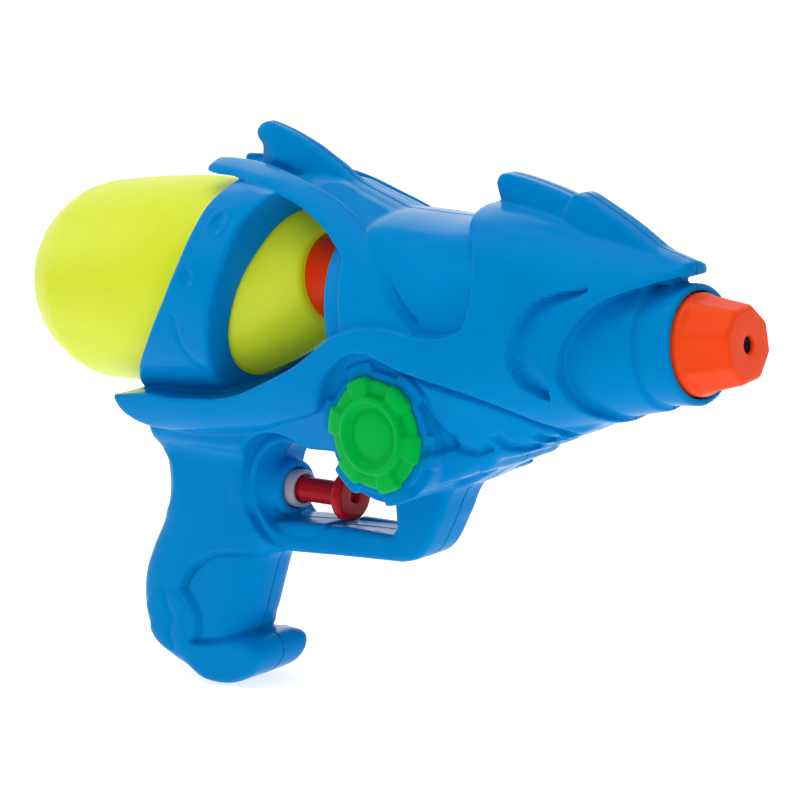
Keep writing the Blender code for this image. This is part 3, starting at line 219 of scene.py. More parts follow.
def outer_form():
    """The casing's outside, before its cavities."""
    soft = along([-26, -10, 40, 56, 72, 90, 150], [1.3, 1.2, 1.2, 1.2, 1.2, 0.9, 0.8])
    f = smax(lofted(BODY, along([-26, 115, 132, 150], [2.0, 2.0, 1.75, 1.7]), along([-26, 20, 48, 66, 80, 105, 150], [4.2, 4.2, 3.5, 2.9, 2.8, 2.3, 2.3])),
             area(SHELL_TOP + SHELL_FRONT + SHELL_BOTTOM), soft)
    f = smax(f, X - (148.4 - 0.06 * Y * Y), 0.8)
    rd = np.sqrt((X - DIAL_X) ** 2 + (Z - DIAL_Z) ** 2)
    f = smax(f, (Y - 26.6 - 1.9 * np.maximum(rd - 18.2, 0)) * 0.5, 0.8)
    dish = (Y - 22.8 - 1.1 * np.maximum(rd - 17.6, 0)) * 0.65
    drum = smax(smax(lofted(DRUM, 2.4), 53.0 - X, 3.0), X - 106, 1)
    f = smin(f, smax(drum, dish, 0.6), 0.5)
    cone = along([90, 104, 120, 138.3, 160], [18.2, 18.0, 17.6, 15.3, 13.0])
    barrel = smax(smax(round_x(BARREL_Z, cone), X - 138.3, 0.8), 104 - X, 1)
    f = smin(f, barrel, 0.8)
    f = smin(f, smax(smax(round_x(BARREL_Z, 14.0), X - 147.3, 1.0), 130 - X, 1), 0.5)
    xs = [r[0] for r in LOWER]
    zb, yb, zt, yt = [along(xs, [r[k] for r in LOWER]) for k in (1, 2, 3, 4)]
    lower = ((Y - yb) * (zt - zb) - (Z - zb) * (yt - yb)) / np.sqrt((zt - zb) ** 2 + (yt - yb) ** 2)
    lower = smax(smax(lower, zb - Z, 2.4), Z - zt - 3.0, 1.0)
    lower = smax(smax(lower, -20.0 - X, 2.0), X - 121.0, 2.0)
    f = smin(f, smax(lower, dish, 0.6), 0.6)
    band = smax(oval(TANK_Z, 31.0, 28.4, 31.0, 2.0, 2.0), area(BAND), 1.6)
    f = smin(f, band, 1.2)
    xs = [r[0] for r in SADDLE]
    zc, w, up, down = [along(xs, [r[k] for r in SADDLE]) for k in (1, 2, 3, 4)]
    arch = smax(oval(zc, w, up, down, 2.0, 2.0), area(ARCH), along([0, 12, 30, 52, 70, 95], [1.4, 1.4, 1.6, 2.4, 2.0, 1.4]))
    y_rim = along([q[0] for q in ARCH_RIM], [q[1] for q in ARCH_RIM])
    z_rim = zc + up * np.sqrt(np.clip(1 - (y_rim / w) ** 2, 0.01, 1))
    drop = along([0, 20, 30, 44, 56, 64], [1.7, 2.2, 3.0, 2.0, 1.1, 0.6])
    arch = smax(arch, -np.maximum(np.maximum(Y - y_rim, z_rim - drop - Z), X - 64.5), 0.5)
    f = smin(f, arch, 0.5)
    foot = along([q[0] for q in ROOF_Z], [q[1] for q in ROOF_Z])
    ya, za = y_rim - 0.3, np.minimum(z_rim - drop - 0.2, foot - 0.4)
    flat = along([12, 34, 42, 50, 58, 70], [2.6, 2.8, 4.0, 5.6, 6.2, 6.2])
    side = ((Y - flat) * (foot - za) + (Z - foot) * (ya - flat)) / np.sqrt((foot - za) ** 2 + (ya - flat) ** 2)
    roof = smax(smax(smax(side, Y - ya, 0.8), za - 4 - Z, 1.0), Z - foot, 0.6)
    roof = smax(smax(roof, 12.0 - X, 2.0), X - 68, 3.0)
    f = smin(f, roof, 0.5)
    f = smin(f, fin(REAR_FIN, along([16, 30, 45, 60], [1.7, 2.0, 2.6, 3.4]), 0.36), 0.8)
    fins = smin(fin(FIN_REAR, 2.8, 0.25), fin(FIN_FRONT, 4.0, 0.25), 0.2)
    f = smin(f, fins, 0.7)
    blunt = 3.2 + 5.0 * np.maximum(step(-31.0, -26.5, Z), step(-14.0, -24.0, X))
    f = smin(f, smax(area(GRIP), Y - 10.8, blunt), 1.6 + 6.0 * step(6.0, 24.0, Z))
    f = smin(f, smax(area(GUARD), Y - 7.6, 2.4), 1.2)
    # shallow channel along the top of the guard, under the button
    channel = np.maximum(np.maximum(Y - 4.0, np.abs(X - 40.2) - 15.2), np.maximum(3.05 - Z, Z - 8.0))
    f = smax(f, -channel, 0.4)
    return f


def on_pump():
    """Place along the pump's axis, which drops to the front, and distance from that axis."""
    c, q = math.cos(math.radians(4.0)), math.sin(math.radians(4.0))
    dx, dz = X - 20.0, Z - PUMP_Z
    return (20.0 + c * dx - q * dz).astype(F32), np.sqrt(Y * Y + (q * dx + c * dz) ** 2).astype(F32)


def cut_outside(f):
    """The tank's seat, the finger space, the scoops beside the pump and the dials' pockets."""
    reach = np.interp(XS, [x for r, x in TANK_SHAPE if x > -23] + [38.6, 56], [r + 0.7 for r, x in TANK_SHAPE if x > -23] + [12.4, 12.4])
    space = np.maximum(round_x(TANK_Z, reach.astype(F32)[:, None, None]), X - 55.2)
    f = smax(f, -space, 0.9)
    f = smax(f, -area(OPENING), 2.2)
    d = np.sqrt((X - 24.0) ** 2 + (Z - 12.6) ** 2)
    wide = smax(d - 16.4, 8.5 + 0.5 * np.clip(16.4 - d, 0, 2.0) - Y, 0.5)
    deep = smax(d - 13.0, 6.6 - 8.2 * step(11.6, 15.4, X) - Y, 1.2)
    f = smax(f, -np.minimum(wide, deep), 0.8)
    rd = np.sqrt((X - DIAL_X) ** 2 + (Z - DIAL_Z) ** 2)
    f = smax(f, -np.maximum(rd - FLANGE_R - 0.4, FLANGE_Y - Y), 0.6)
    px, pr = on_pump()
    boss = smax(pr - (7.4 + 0.5 * np.clip(14.5 - px, 0, 6)), px - 17.6, 1.6)
    f = smin(f, np.maximum(boss, 4.0 - X), 1.6)
    bar = smax(smax(np.abs(X - 21.0) - 11.4, np.abs(Z - 0.2) - 3.9, 1.0), Y - 7.4, 1.6)
    f = smin(f, bar, 0.6)
    angle = np.degrees(np.arctan2(Z - DIAL_Z, X - DIAL_X))
    tooth = step(0.14, -0.14, np.sin(np.radians(angle * 6.0)))
    flange = smax(rd - (FLANGE_R + 0.3 - 2.4 * (1 - tooth)), Y - FLANGE_Y, 0.6)
    flange = np.minimum(flange, smax(rd - FLANGE_R, Y - FLANGE_Y + 2.0, 0.6))
    f = smin(f, np.maximum(flange, 7.4 - Y), 0.6)
    return f


def relief(f):
    """Shallow moulded detail, as the depth by which the outside sinks at each place in side view."""
    outer = smooth_line([(128.5, 65.1), (122.5, 64.5), (117.6, 63.0), (113.6, 59.3), (111.1, 54.7), (110.4, 51.0), (110.3, 47.6), (112.1, 43.7), (117.2, 39.6)])
    inner = smooth_line([(128.7, 64.3), (124.9, 61.5), (122.8, 58.2), (120.7, 53.6), (120.0, 50.1), (118.6, 44.0)])
    at = area(outer + inner[::-1])
    d_in, d_out = line(inner), line(outer)
    sink = 2.9 * d_in / (d_in + d_out + 0.01) * step(0.12, -0.22, at)
    f = f + sink * step(8.0, 10.0, Y)
    # groove under the hood's lower edge
    groove = line(smooth_line([(70.5, 50.6), (76.0, 47.8), (82.8, 45.5), (90.1, 43.2), (98.8, 39.9), (105.6, 36.2), (109.6, 33.2), (112.6, 30.7), (116.0, 28.6)]))
    f = f + 1.7 * np.exp(-(groove / 0.7) ** 2) * step(5.0, 8.0, Y)
    # crease between the rib's foot and the drum
    crease = line(smooth_line([(73.4, 70.0), (77.0, 65.4), (80.6, 60.8), (83.2, 58.4)]))
    f = f + 1.3 * np.exp(-(crease / 0.9) ** 2) * step(14.0, 18.0, Y) * step(72.0, 78.0, X)
    # scalloped ribs along the underside
    for low, top in (([(86.0, 30.6), (86.6, 28.0), (88.6, 26.6), (92.5, 25.8), (96.4, 26.8)], [(95.0, 30.6), (90.0, 32.4)]),
                     ([(97.4, 30.2), (98.6, 27.6), (100.6, 26.6), (103.6, 26.4), (106.4, 27.2)], [(104.6, 30.6), (100.4, 31.8)]),
                     ([(106.2, 30.0), (107.4, 28.4), (109.6, 27.8), (112.2, 28.6)], [(111.0, 31.2), (108.4, 31.8)])):
        low = smooth_line(low, 4)
        f = f + 1.5 * np.exp(-(line(low) / 2.2) ** 2) * step(0.2, -0.4, area(low + top)) * step(5.0, 7.0, Y)
    f = f + 1.5 * step(0.2, -1.4, area([(79.6, 42.2), (84.8, 36.6), (89.2, 28.4), (87.0, 27.0), (82.5, 26.1), (81.0, 27.7), (84.6, 31.6), (82.0, 38.0)])) * step(5.0, 7.0, Y)
    fold = line(smooth_line([(86.0, 19.2), (88.4, 20.2), (90.1, 21.5), (92.0, 23.4), (92.5, 25.4)]))
    f = f + 0.6 * np.exp(-(fold / 0.55) ** 2) * step(5.0, 7.0, Y)
    # hand grip: sunk front panel and a lobed ornament behind it
    panel = area(smooth_line([(-19.4, -15.0), (-17.1, -11.8), (-14.3, -9.0), (-10.3, -6.6), (-6.5, -5.1), (-1.9, -4.3), (2.6, -4.2), (8.0, -4.6), (13.0, -5.0)], 4)
                 + [(24.0, -5.0), (24.0, -27.2)]
                 + smooth_line([(3.0, -27.8), (-1.2, -28.6), (-10.5, -30.3), (-18.2, -30.3), (-15.7, -27.1), (-15.1, -23.0), (-16.4, -19.5), (-19.4, -15.3)], 4))
    slant = 0.7 + 2.0 * step(-14.0, -9.0, Z) * step(-16.0, -8.0, X)
    f = f + 1.2 * step(0.1, -0.9, panel / slant) + 0.6 * np.exp(-((panel + 0.8) / 0.6) ** 2)
    f = f + 0.8 * np.exp(-((panel + 0.4) / 0.55) ** 2) * step(-17.0, -13.0, Z) * step(11.0, 6.0, X)
    foot = line(smooth_line([(-17.0, -29.6), (-10.5, -29.2), (-1.0, -27.4), (5.0, -26.6), (12.0, -26.0)], 4))
    f = f + 0.5 * np.exp(-(foot / 0.7) ** 2)
    petal = area(smooth_line([(-33.7, -20.3), (-29.9, -17.3), (-26.0, -16.4), (-25.6, -20.1), (-23.9, -23.7), (-25.8, -27.2), (-24.9, -30.9), (-26.7, -33.4),
                              (-31.1, -31.3), (-34.0, -28.2), (-32.5, -24.6)], 4, True))
    f = f - 0.4 * step(0.25, -0.35, petal)
    petal = area(smooth_line([(-24.0, -16.8), (-20.2, -16.5), (-18.2, -21.4), (-20.5, -24.6), (-19.2, -28.5), (-21.5, -31.1), (-23.7, -30.6), (-24.1, -26.9),
                              (-22.2, -23.4), (-24.0, -19.8)], 4, True))
    f = f - 0.3 * step(0.25, -0.35, petal)
    web = line(smooth_line([(-22.6, 22.5), (-19.3, 21.2), (-17.3, 19.1), (-16.9, 15.2), (-17.7, 11.3), (-19.3, 8.5), (-21.6, 6.4), (-25.4, 4.3)]))
    f = f - 0.25 * np.exp(-(web / 1.0) ** 2)
    # rear band: two dished studs and a shallow line
    for cx, cz in ((15.5, 71.0), (23.1, 83.7)):
        d = np.sqrt((X - cx) ** 2 + (Z - cz) ** 2)
        f = f + (0.55 * step(2.6, 1.2, d) - 0.22 * np.exp(-((d - 3.0) / 0.6) ** 2)) * step(18.0, 21.0, Y)
    crease = line(smooth_line([(9.1, 60.9), (8.4, 54.5), (9.4, 48.1), (11.0, 43.7), (13.8, 40.1)]))
    f = f + 0.6 * np.exp(-(crease / 0.6) ** 2) * step(18.0, 21.0, Y)
    return f


def cavities():
    """Everything that is hollow inside the casing."""
    cav = smax(smax(lofted(HOLLOW), 58.4 - X, 0.8), X - 133.6, 0.8)
    grip = area([(-20.2, 20.0), (-20.0, 14.4), (-21.9, 7.6), (-24.6, 3.4), (-28.5, -1.8), (-32.6, -9.4), (-34.6, -17.6), (-34.4, -25.0),
                 (-31.6, -30.6), (-25.4, -34.6), (-16.8, -37.4), (-9.9, -38.4), (-4.6, -37.8), (0.4, -36.0), (2.6, -33.6), (2.0, -31.4),
                 (-4.6, -29.0), (-4.4, -25.0), (-2.4, -21.4), (0.6, -14.4), (3.6, -8.4), (6.2, 11.5), (8.4, 25.0), (8.4, 36.1),
                 (-16.0, 36.1), (-20.4, 30.0)])
    cav = np.minimum(cav, smax(grip, Y - 7.0, 5.0))
    corridor = area([(0.0, 26.9), (57.6, 26.9), (59.4, 21.0), (74.0, 20.0), (82.0, 20.6), (92.0, 25.6), (108.0, 29.8), (114.0, 31.2),
                     (114.0, 40.0), (60.0, 48.0), (54.0, 36.0), (28.0, 36.2), (0.0, 36.0)])
    cav = np.minimum(cav, np.maximum(corridor, Y - 7.8))
    cav = np.minimum(cav, np.maximum(np.sqrt((X - DIAL_X) ** 2 + (Z - DIAL_Z) ** 2) - 5.6, Y - 9.7))   # room for the dial's snap end
    leg = area([(59.4, 22.0), (59.4, 4.0), (61.6, 2.2), (64.0, 3.0), (66.6, 6.4), (70.4, 13.0), (73.0, 17.4), (74.0, 22.0)])
    cav = np.minimum(cav, np.maximum(leg, Y - 5.4))
    px, pr = on_pump()
    cav = np.minimum(cav, np.maximum(pr - 5.35, np.maximum(-2 - px, px - 40)))
    cav = np.minimum(cav, np.maximum(round_x(BARREL_Z, 12.3), 140.6 - X))
    cav = np.minimum(cav, np.maximum(round_x(BARREL_Z, 5.3), 130.0 - X))
    rd = np.sqrt((X - DIAL_X) ** 2 + (Z - DIAL_Z) ** 2)
    cav = np.minimum(cav, rd - 4.0)
    cav = np.minimum(cav, np.maximum(round_x(TANK_Z, 10.4), np.abs(X - 55) - 5))
    gate = np.maximum(np.maximum(np.abs(X - 81.5) - 22.5, np.abs(Z - 40) - 10), Y - 8.8)
    return np.minimum(cav, gate)


def sampled(field, p):
    """Values of a grid field at points in grid steps."""
    i = np.clip(np.floor(p).astype(np.int32), 0, np.array(field.shape) - 2)
    t = (p - i).astype(F32)
    out = 0
    for dx in (0, 1):
        for dy in (0, 1):
            for dz in (0, 1):
                w = (t[:, 0] if dx else 1 - t[:, 0]) * (t[:, 1] if dy else 1 - t[:, 1]) * (t[:, 2] if dz else 1 - t[:, 2])
                out = out + w * field[i[:, 0] + dx, i[:, 1] + dy, i[:, 2] + dz]
    return out


def skin(f):
    """A closed skin where the field changes sign: points in grid steps and four-sided faces that look outwards."""
    s = f < 0
    nx, ny, nz = f.shape
    corners = [(a, b, c) for a in (0, 1) for b in (0, 1) for c in (0, 1)]
    count = np.zeros((nx - 1, ny - 1, nz - 1), np.int8)
    for a, b, c in corners:
        count += s[a:nx - 1 + a, b:ny - 1 + b, c:nz - 1 + c]
    live = (count > 0) & (count < 8)
    ci, cj, ck = np.nonzero(live)
    index = np.full(live.shape, -1, np.int32)
    index[live] = np.arange(len(ci))
    vals = [f[ci + a, cj + b, ck + c] for a, b, c in corners]
    total, hits = np.zeros((len(ci), 3), F32), np.zeros(len(ci), F32)
    for m, p in enumerate(corners):
        for n, q in enumerate(corners):
            if n > m and sum(abs(u - v) for u, v in zip(p, q)) == 1:
                va, vb = vals[m], vals[n]
                cross = (va < 0) != (vb < 0)
                t = np.where(cross, va / np.where(cross, va - vb, 1), 0)
                for k in range(3):
                    total[:, k] += np.where(cross, p[k] + t * (q[k] - p[k]), 0)
                hits += cross
    points = total / hits[:, None] + np.stack([ci, cj, ck], 1)
    faces = []
    for axis in range(3):
        u, v = (axis + 1) % 3, (axis + 2) % 3
        low = [slice(1, n - 1) for n in (nx, ny, nz)]
        low[axis] = slice(0, (nx, ny, nz)[axis] - 1)
        high = list(low)
        high[axis] = slice(1, (nx, ny, nz)[axis])
        sa, sb = s[tuple(low)], s[tuple(high)]
        at = np.nonzero(sa != sb)
        cell = [at[k] + (0 if k == axis else 1) for k in range(3)]
        ring = []
        for du, dv in ((1, 1), (0, 1), (0, 0), (1, 0)):
            c = list(cell)
            c[u] = c[u] - du
            c[v] = c[v] - dv
            ring.append(index[tuple(c)])
        quad = np.stack(ring, 1)
        out = sa[at]
        faces.append(np.where(out[:, None], quad, quad[:, ::-1]))
    return points, np.concatenate(faces)


def mesh_from(name, points, faces):
    """A mesh from point and face arrays, quickly."""
    mesh = bpy.data.meshes.new(name)
    mesh.vertices.add(len(points))
    mesh.vertices.foreach_set("co", np.ascontiguousarray(points, F32).ravel())
    side = faces.shape[1]
    mesh.loops.add(faces.size)
    mesh.loops.foreach_set("vertex_index", np.ascontiguousarray(faces, np.int32).ravel())
    mesh.polygons.add(len(faces))
    mesh.polygons.foreach_set("loop_start", np.arange(0, faces.size, side, dtype=np.int32))
    mesh.update(calc_edges=True)
    return mesh


def link(mesh, name):
    obj = bpy.data.objects.new(name, mesh)
    bpy.context.scene.collection.objects.link(obj)
    return obj


def half_mesh(f, name, side, triangles):
    """A casing half's mesh from its field: skinned, drawn to the exact surface, thinned, and shaded by the field's own slope."""
    points, faces = skin(f)
    slope = [g.astype(F32) for g in np.gradient(f)]
    for _ in range(3):
        g = np.stack([sampled(s, points) for s in slope], 1)
        d = sampled(f, points)
        points = points - np.clip(d / np.maximum((g * g).sum(1), 0.04), -0.6, 0.6)[:, None] * g
    obj = link(mesh_from(name, points * STEP + np.array([XS[0], YS[0], ZS[0]]), faces), name)
    mod = obj.modifiers.new("thin", 'DECIMATE')
    mod.ratio = min(1.0, triangles / (2.0 * len(faces)))
    deps = bpy.context.evaluated_depsgraph_get()
    mesh = bpy.data.meshes.new_from_object(obj.evaluated_get(deps))
    old = obj.data
    obj.modifiers.clear()
    obj.data = mesh
    bpy.data.meshes.remove(old)
    mesh.name = name
    n = len(mesh.vertices)
    co = np.zeros(n * 3, F32)
    mesh.vertices.foreach_get("co", co)
    co = co.reshape(-1, 3)
    grid = (co - np.array([XS[0], YS[0], ZS[0]], F32)) / STEP
    normal = np.stack([sampled(s, grid) for s in slope], 1)
    normal /= np.maximum(np.linalg.norm(normal, axis=1), 1e-6)[:, None]
    if side < 0:
        co[:, 1] *= -1
        normal[:, 1] *= -1
    mesh.vertices.foreach_set("co", (co * MM).ravel())
    if side < 0:
        mesh.flip_normals()
    mesh.shade_smooth()
    mesh.update()
    loops = np.zeros(len(mesh.loops), np.int32)
    mesh.loops.foreach_get("vertex_index", loops)
    flat = np.zeros(len(mesh.polygons) * 3, F32)
    mesh.polygons.foreach_get("normal", flat)
    sizes = np.zeros(len(mesh.polygons), np.int32)
    mesh.polygons.foreach_get("loop_total", sizes)
    flat = np.repeat(flat.reshape(-1, 3), sizes, axis=0)
    at = normal[loops]
    w = step(0.92, 0.72, (at * flat).sum(1))[:, None]
    at = at * (1 - w) + flat * w
    at /= np.maximum(np.linalg.norm(at, axis=1), 1e-6)[:, None]
    mesh.normals_split_custom_set(at.tolist())
    return obj


def casing_halves():
    f = relief(cut_outside(outer_form()))
    cav = cavities()
    for sx, sz, seat, tip, post in SCREWS:
        if post:
            d = np.sqrt((X - sx) ** 2 + (Z - sz) ** 2)
            cav = np.maximum(cav, -np.maximum(d - 3.4, Y - post))
    f = smax(f, -cav, 0.35)
    made = []
    for name, side in (("casing_half_right", -1), ("casing_half_left", 1)):
        g = f
        for sx, sz, seat, tip, post in SCREWS:
            d = np.sqrt((X - sx) ** 2 + (Z - sz) ** 2)
            if side < 0:
                hole = np.maximum(d - 1.55, Y - tip - 0.1)
            else:
                hole = np.minimum(np.maximum(d - 1.55, Y - seat - 1), np.maximum(d - 2.9, seat - Y))
            g = np.maximum(g, -hole)
        g = smax(g - 0.14 * np.exp(-(Y / 0.6) ** 2), 0.04 - Y, 0.2).astype(F32)
        for k, end in ((0, 0), (0, -1), (1, 0), (1, -1), (2, 0), (2, -1)):
            cut = [slice(None)] * 3
            cut[k] = end
            g[tuple(cut)] = np.maximum(g[tuple(cut)], 0.2)
        made.append(half_mesh(g, name, side, 90000))
    return made


# ---------------------------------------------------------------- turned and shaped pieces
def rounded(profile, radius=0.4, steps=3):
    """A closed or open profile (radius, height) with its corners rounded."""
    out = []
    n = len(profile)
    for i, p in enumerate(profile):
        a, b = profile[i - 1], profile[(i + 1) % n]
        if (i in (0, n - 1)) and (profile[0][0] == 0 or profile[-1][0] == 0):
            out.append(p)
            continue
        p, va, vb = np.array(p, float), np.array(a, float) - p, np.array(b, float) - p
        la, lb = np.linalg.norm(va), np.linalg.norm(vb)
        r = min(radius, la * 0.45, lb * 0.45)
        pa, pb = p + va / la * r, p + vb / lb * r
        for s in range(steps + 1):
            t = s / steps
            out.append(tuple((1 - t) ** 2 * pa + 2 * t * (1 - t) * p + t * t * pb))
    return out


def rings_mesh(name, rings, closed):
    """A mesh through rings of equal point count. Rings of one point close an end; closed joins the last ring to the first."""
    bm = bmesh.new()
    made = [[bm.verts.new([c * MM for c in p]) for p in ring] for ring in rings]
    pairs = list(zip(made, made[1:])) + ([(made[-1], made[0])] if closed else [])
    for a, b in pairs:
        n = max(len(a), len(b))
        for i in range(n):
            j = (i + 1) % n
            if len(a) == 1:
                bm.faces.new((a[0], b[j], b[i]))
            elif len(b) == 1:
                bm.faces.new((a[i], a[j], b[0]))
            else:
                bm.faces.new((a[i], a[j], b[j], b[i]))
    bmesh.ops.recalc_face_normals(bm, faces=bm.faces)
    mesh = bpy.data.meshes.new(name)
    bm.to_mesh(mesh)
    bm.free()
    mesh.shade_smooth()
    mesh.set_sharp_from_angle(angle=math.radians(50))
    return link(mesh, name)


def turned(name, profile, z=0.0, count=96, shape=None):
    """A piece turned about X at height z from a profile (radius, x); shape may move each point (x, angle, radius) to a new (x, radius)."""
    closed = profile[0][0] > 0 and profile[-1][0] > 0
    rings = []
    for r, x in profile:
        if r <= 1e-6:
            rings.append([(x, 0.0, z)])
            continue
        ring = []
        for i in range(count):
            a = 2 * math.pi * i / count
            xx, rr = shape(x, a, r) if shape else (x, r)
            ring.append((xx, -rr * math.cos(a), z + rr * math.sin(a)))
        rings.append(ring)
    return rings_mesh(name, rings, closed)


def tank_piece():
    fine = smooth_line([(0.0, -62.0), (4.7, -61.6)] + TANK_SHAPE, 4)
    fine = [(max(r, 0.0), x) for r, x in fine]
    wall = 1.3
    inner = [(max(r - wall, 0.0) if x > -55 else max(r - wall * 0.6, 0.0), x + (wall if x < -50 else 0.0)) for r, x in fine[:-3:3]]
    inner[0] = (0.0, -62.0 + wall)
    neck = rounded([(9.0, 36.6), (7.0, 36.8), (7.0, 46.0), (8.6, 46.0), (8.6, 37.3), (12.5, 37.3)], 0.5)
    profile = inner + neck + fine[::-1]

    def shape(x, a, r):
        outside = r > float(np.interp(x, [p[1] for p in fine], [p[0] for p in fine])) - 0.4
        if outside and x < 36:
            seam = abs(math.cos(a))
            r += 0.16 * math.exp(-(seam * r / 0.7) ** 2) * min(1.0, (36 - x) / 6)
        return x, r
    return turned("tank_shell", profile, TANK_Z, 128, shape)


def cap_piece():
    profile = rounded([(2.0, 59.0), (7.0, 59.0), (7.6, 58.4), (7.6, 56.0), (6.6, 56.0), (6.6, 54.0), (7.6, 54.0), (7.6, 49.2), (10.7, 49.2),
                       (11.3, 48.4), (11.3, 37.6), (8.9, 37.6), (8.9, 47.6), (2.0, 47.6)], 0.5)
    return turned("tank_collar", profile, TANK_Z, 96)


def nozzle_piece():
    turn = math.radians(18.0)

    def facet(x, a, r):
        flats = float(np.clip((x - 148.2) / 1.4, 0, 1)) if r > 6.0 else 0.0
        local = (a - turn + math.pi / 8) % (math.pi / 4) - math.pi / 8
        off = math.pi / 8 - abs(local)
        side = math.cos(math.pi / 8) / math.cos(off)
        blunt = 1 - 0.008 * math.exp(-(abs(local) / 0.05) ** 2)
        return x, r * (1 - flats + flats * side * blunt)

    profile = rounded([(1.0, 152.6), (1.0, 158.0), (2.1, 158.0), (2.1, 159.1), (2.1, 160.0), (8.5, 160.0), (9.3, 159.2), (11.45, 149.2), (11.9, 148.2), (11.9, 143.0),
                       (11.5, 142.8), (4.75, 142.8), (4.75, 152.6)], 0.45)
    obj = turned("nozzle_tip", profile, BARREL_Z, 128, facet)
    obj.data.materials.append(ORANGE)
    obj.data.materials.append(BORE_PAINTED_SHADE)
    # painted shade: faces inside the narrow bore get a dark material where shade falls in the hole
    for p in obj.data.polygons:
        c = p.center / MM
        if math.hypot(c.y, c.z - BARREL_Z) < 2.15 and c.x < 158.95:
            p.material_index = 1
    return obj


def tilted(obj):
    """Turn a piece made level into the line of the pump."""
    at = Vector((20.0, 0.0, PUMP_Z)) * MM
    obj.data.transform(Matrix.Translation(at) @ Matrix.Rotation(math.radians(4.0), 4, 'Y') @ Matrix.Translation(-at))
    return obj


def button_piece():
    profile = rounded([(1.75, 37.4), (5.9, 37.4), (6.7, 36.6), (6.7, 34.8), (6.1, 34.2), (1.75, 34.2)], 0.45, 4)
    return tilted(turned("trigger_button", profile, PUMP_Z, 72))


def rod_piece():
    profile = rounded([(0.0, 35.9), (1.45, 35.9), (1.45, 33.9), (3.2, 33.9), (3.2, 16.2), (3.85, 16.2), (3.85, 14.6), (2.65, 14.6), (2.65, 13.0),
                       (3.85, 13.0), (3.85, 11.2), (0.0, 11.2)], 0.2)
    return tilted(turned("trigger_rod", profile, PUMP_Z, 48))


def cylinder_piece():
    profile = rounded([(3.9, 20.0), (4.6, 20.0), (5.0, 19.6), (5.0, -11.8), (4.2, -11.8), (4.2, 16.6), (3.5, 16.6), (3.5, 18.2), (3.9, 18.2)], 0.25)
    return tilted(turned("pump_ring", profile, PUMP_Z, 64))


def dial_piece(name, side):
    """A dial: dished middle, raised ring, and a rim of twelve sectors that stand high and low in turn."""
    count = 240

    def raised(a):
        return 0.5 - 0.5 * math.tanh(math.sin(6 * a) * 9.0)

    def ring(r, y, grow=0.0, drop=0.0):
        out = []
        for i in range(count):
            a = 2 * math.pi * i / count
            k = raised(a)
            out.append((DIAL_X + (r + grow * k) * math.cos(a), side * (y - drop * (1 - k)), DIAL_Z + (r + grow * k) * math.sin(a)))
        return out

    rings = [[(DIAL_X, side * 26.55, DIAL_Z)]]
    for r, y in ((2.0, 26.53), (4.0, 26.46), (5.4, 26.36), (6.2, 26.22), (6.5, 26.1), (6.75, 26.08), (7.0, 26.2), (7.5, 26.8), (7.9, 27.35), (8.15, 27.65), (8.5, 27.8), (9.0, 27.8),
                 (9.4, 27.65), (9.62, 27.3)):
        rings.append(ring(r, y))
    for r, y, grow, drop in ((9.75, 27.1, 0, 0.5), (10.0, 27.0, 0, 1.0), (11.2, 27.05, 0, 1.05), (12.6, 26.9, 0.2, 1.05), (13.1, 26.65, 0.55, 0.95),
                             (13.3, 26.3, 0.85, 0.8), (13.4, 25.8, 0.9, 0.5), (13.4, 25.3, 0.9, 0.1), (13.4, 25.1, 0.9, 0), (13.1, 24.85, 0.9, 0)):
        rings.append(ring(r, y, grow, drop))
    for r, y in ((4.2, 24.85), (3.7, 24.5), (3.7, 9.1), (4.9, 9.0), (4.9, 8.2), (4.6, 7.9)):
        rings.append(ring(r, y))
    rings.append([(DIAL_X, side * 7.9, DIAL_Z)])
    return rings_mesh(name, rings, False)


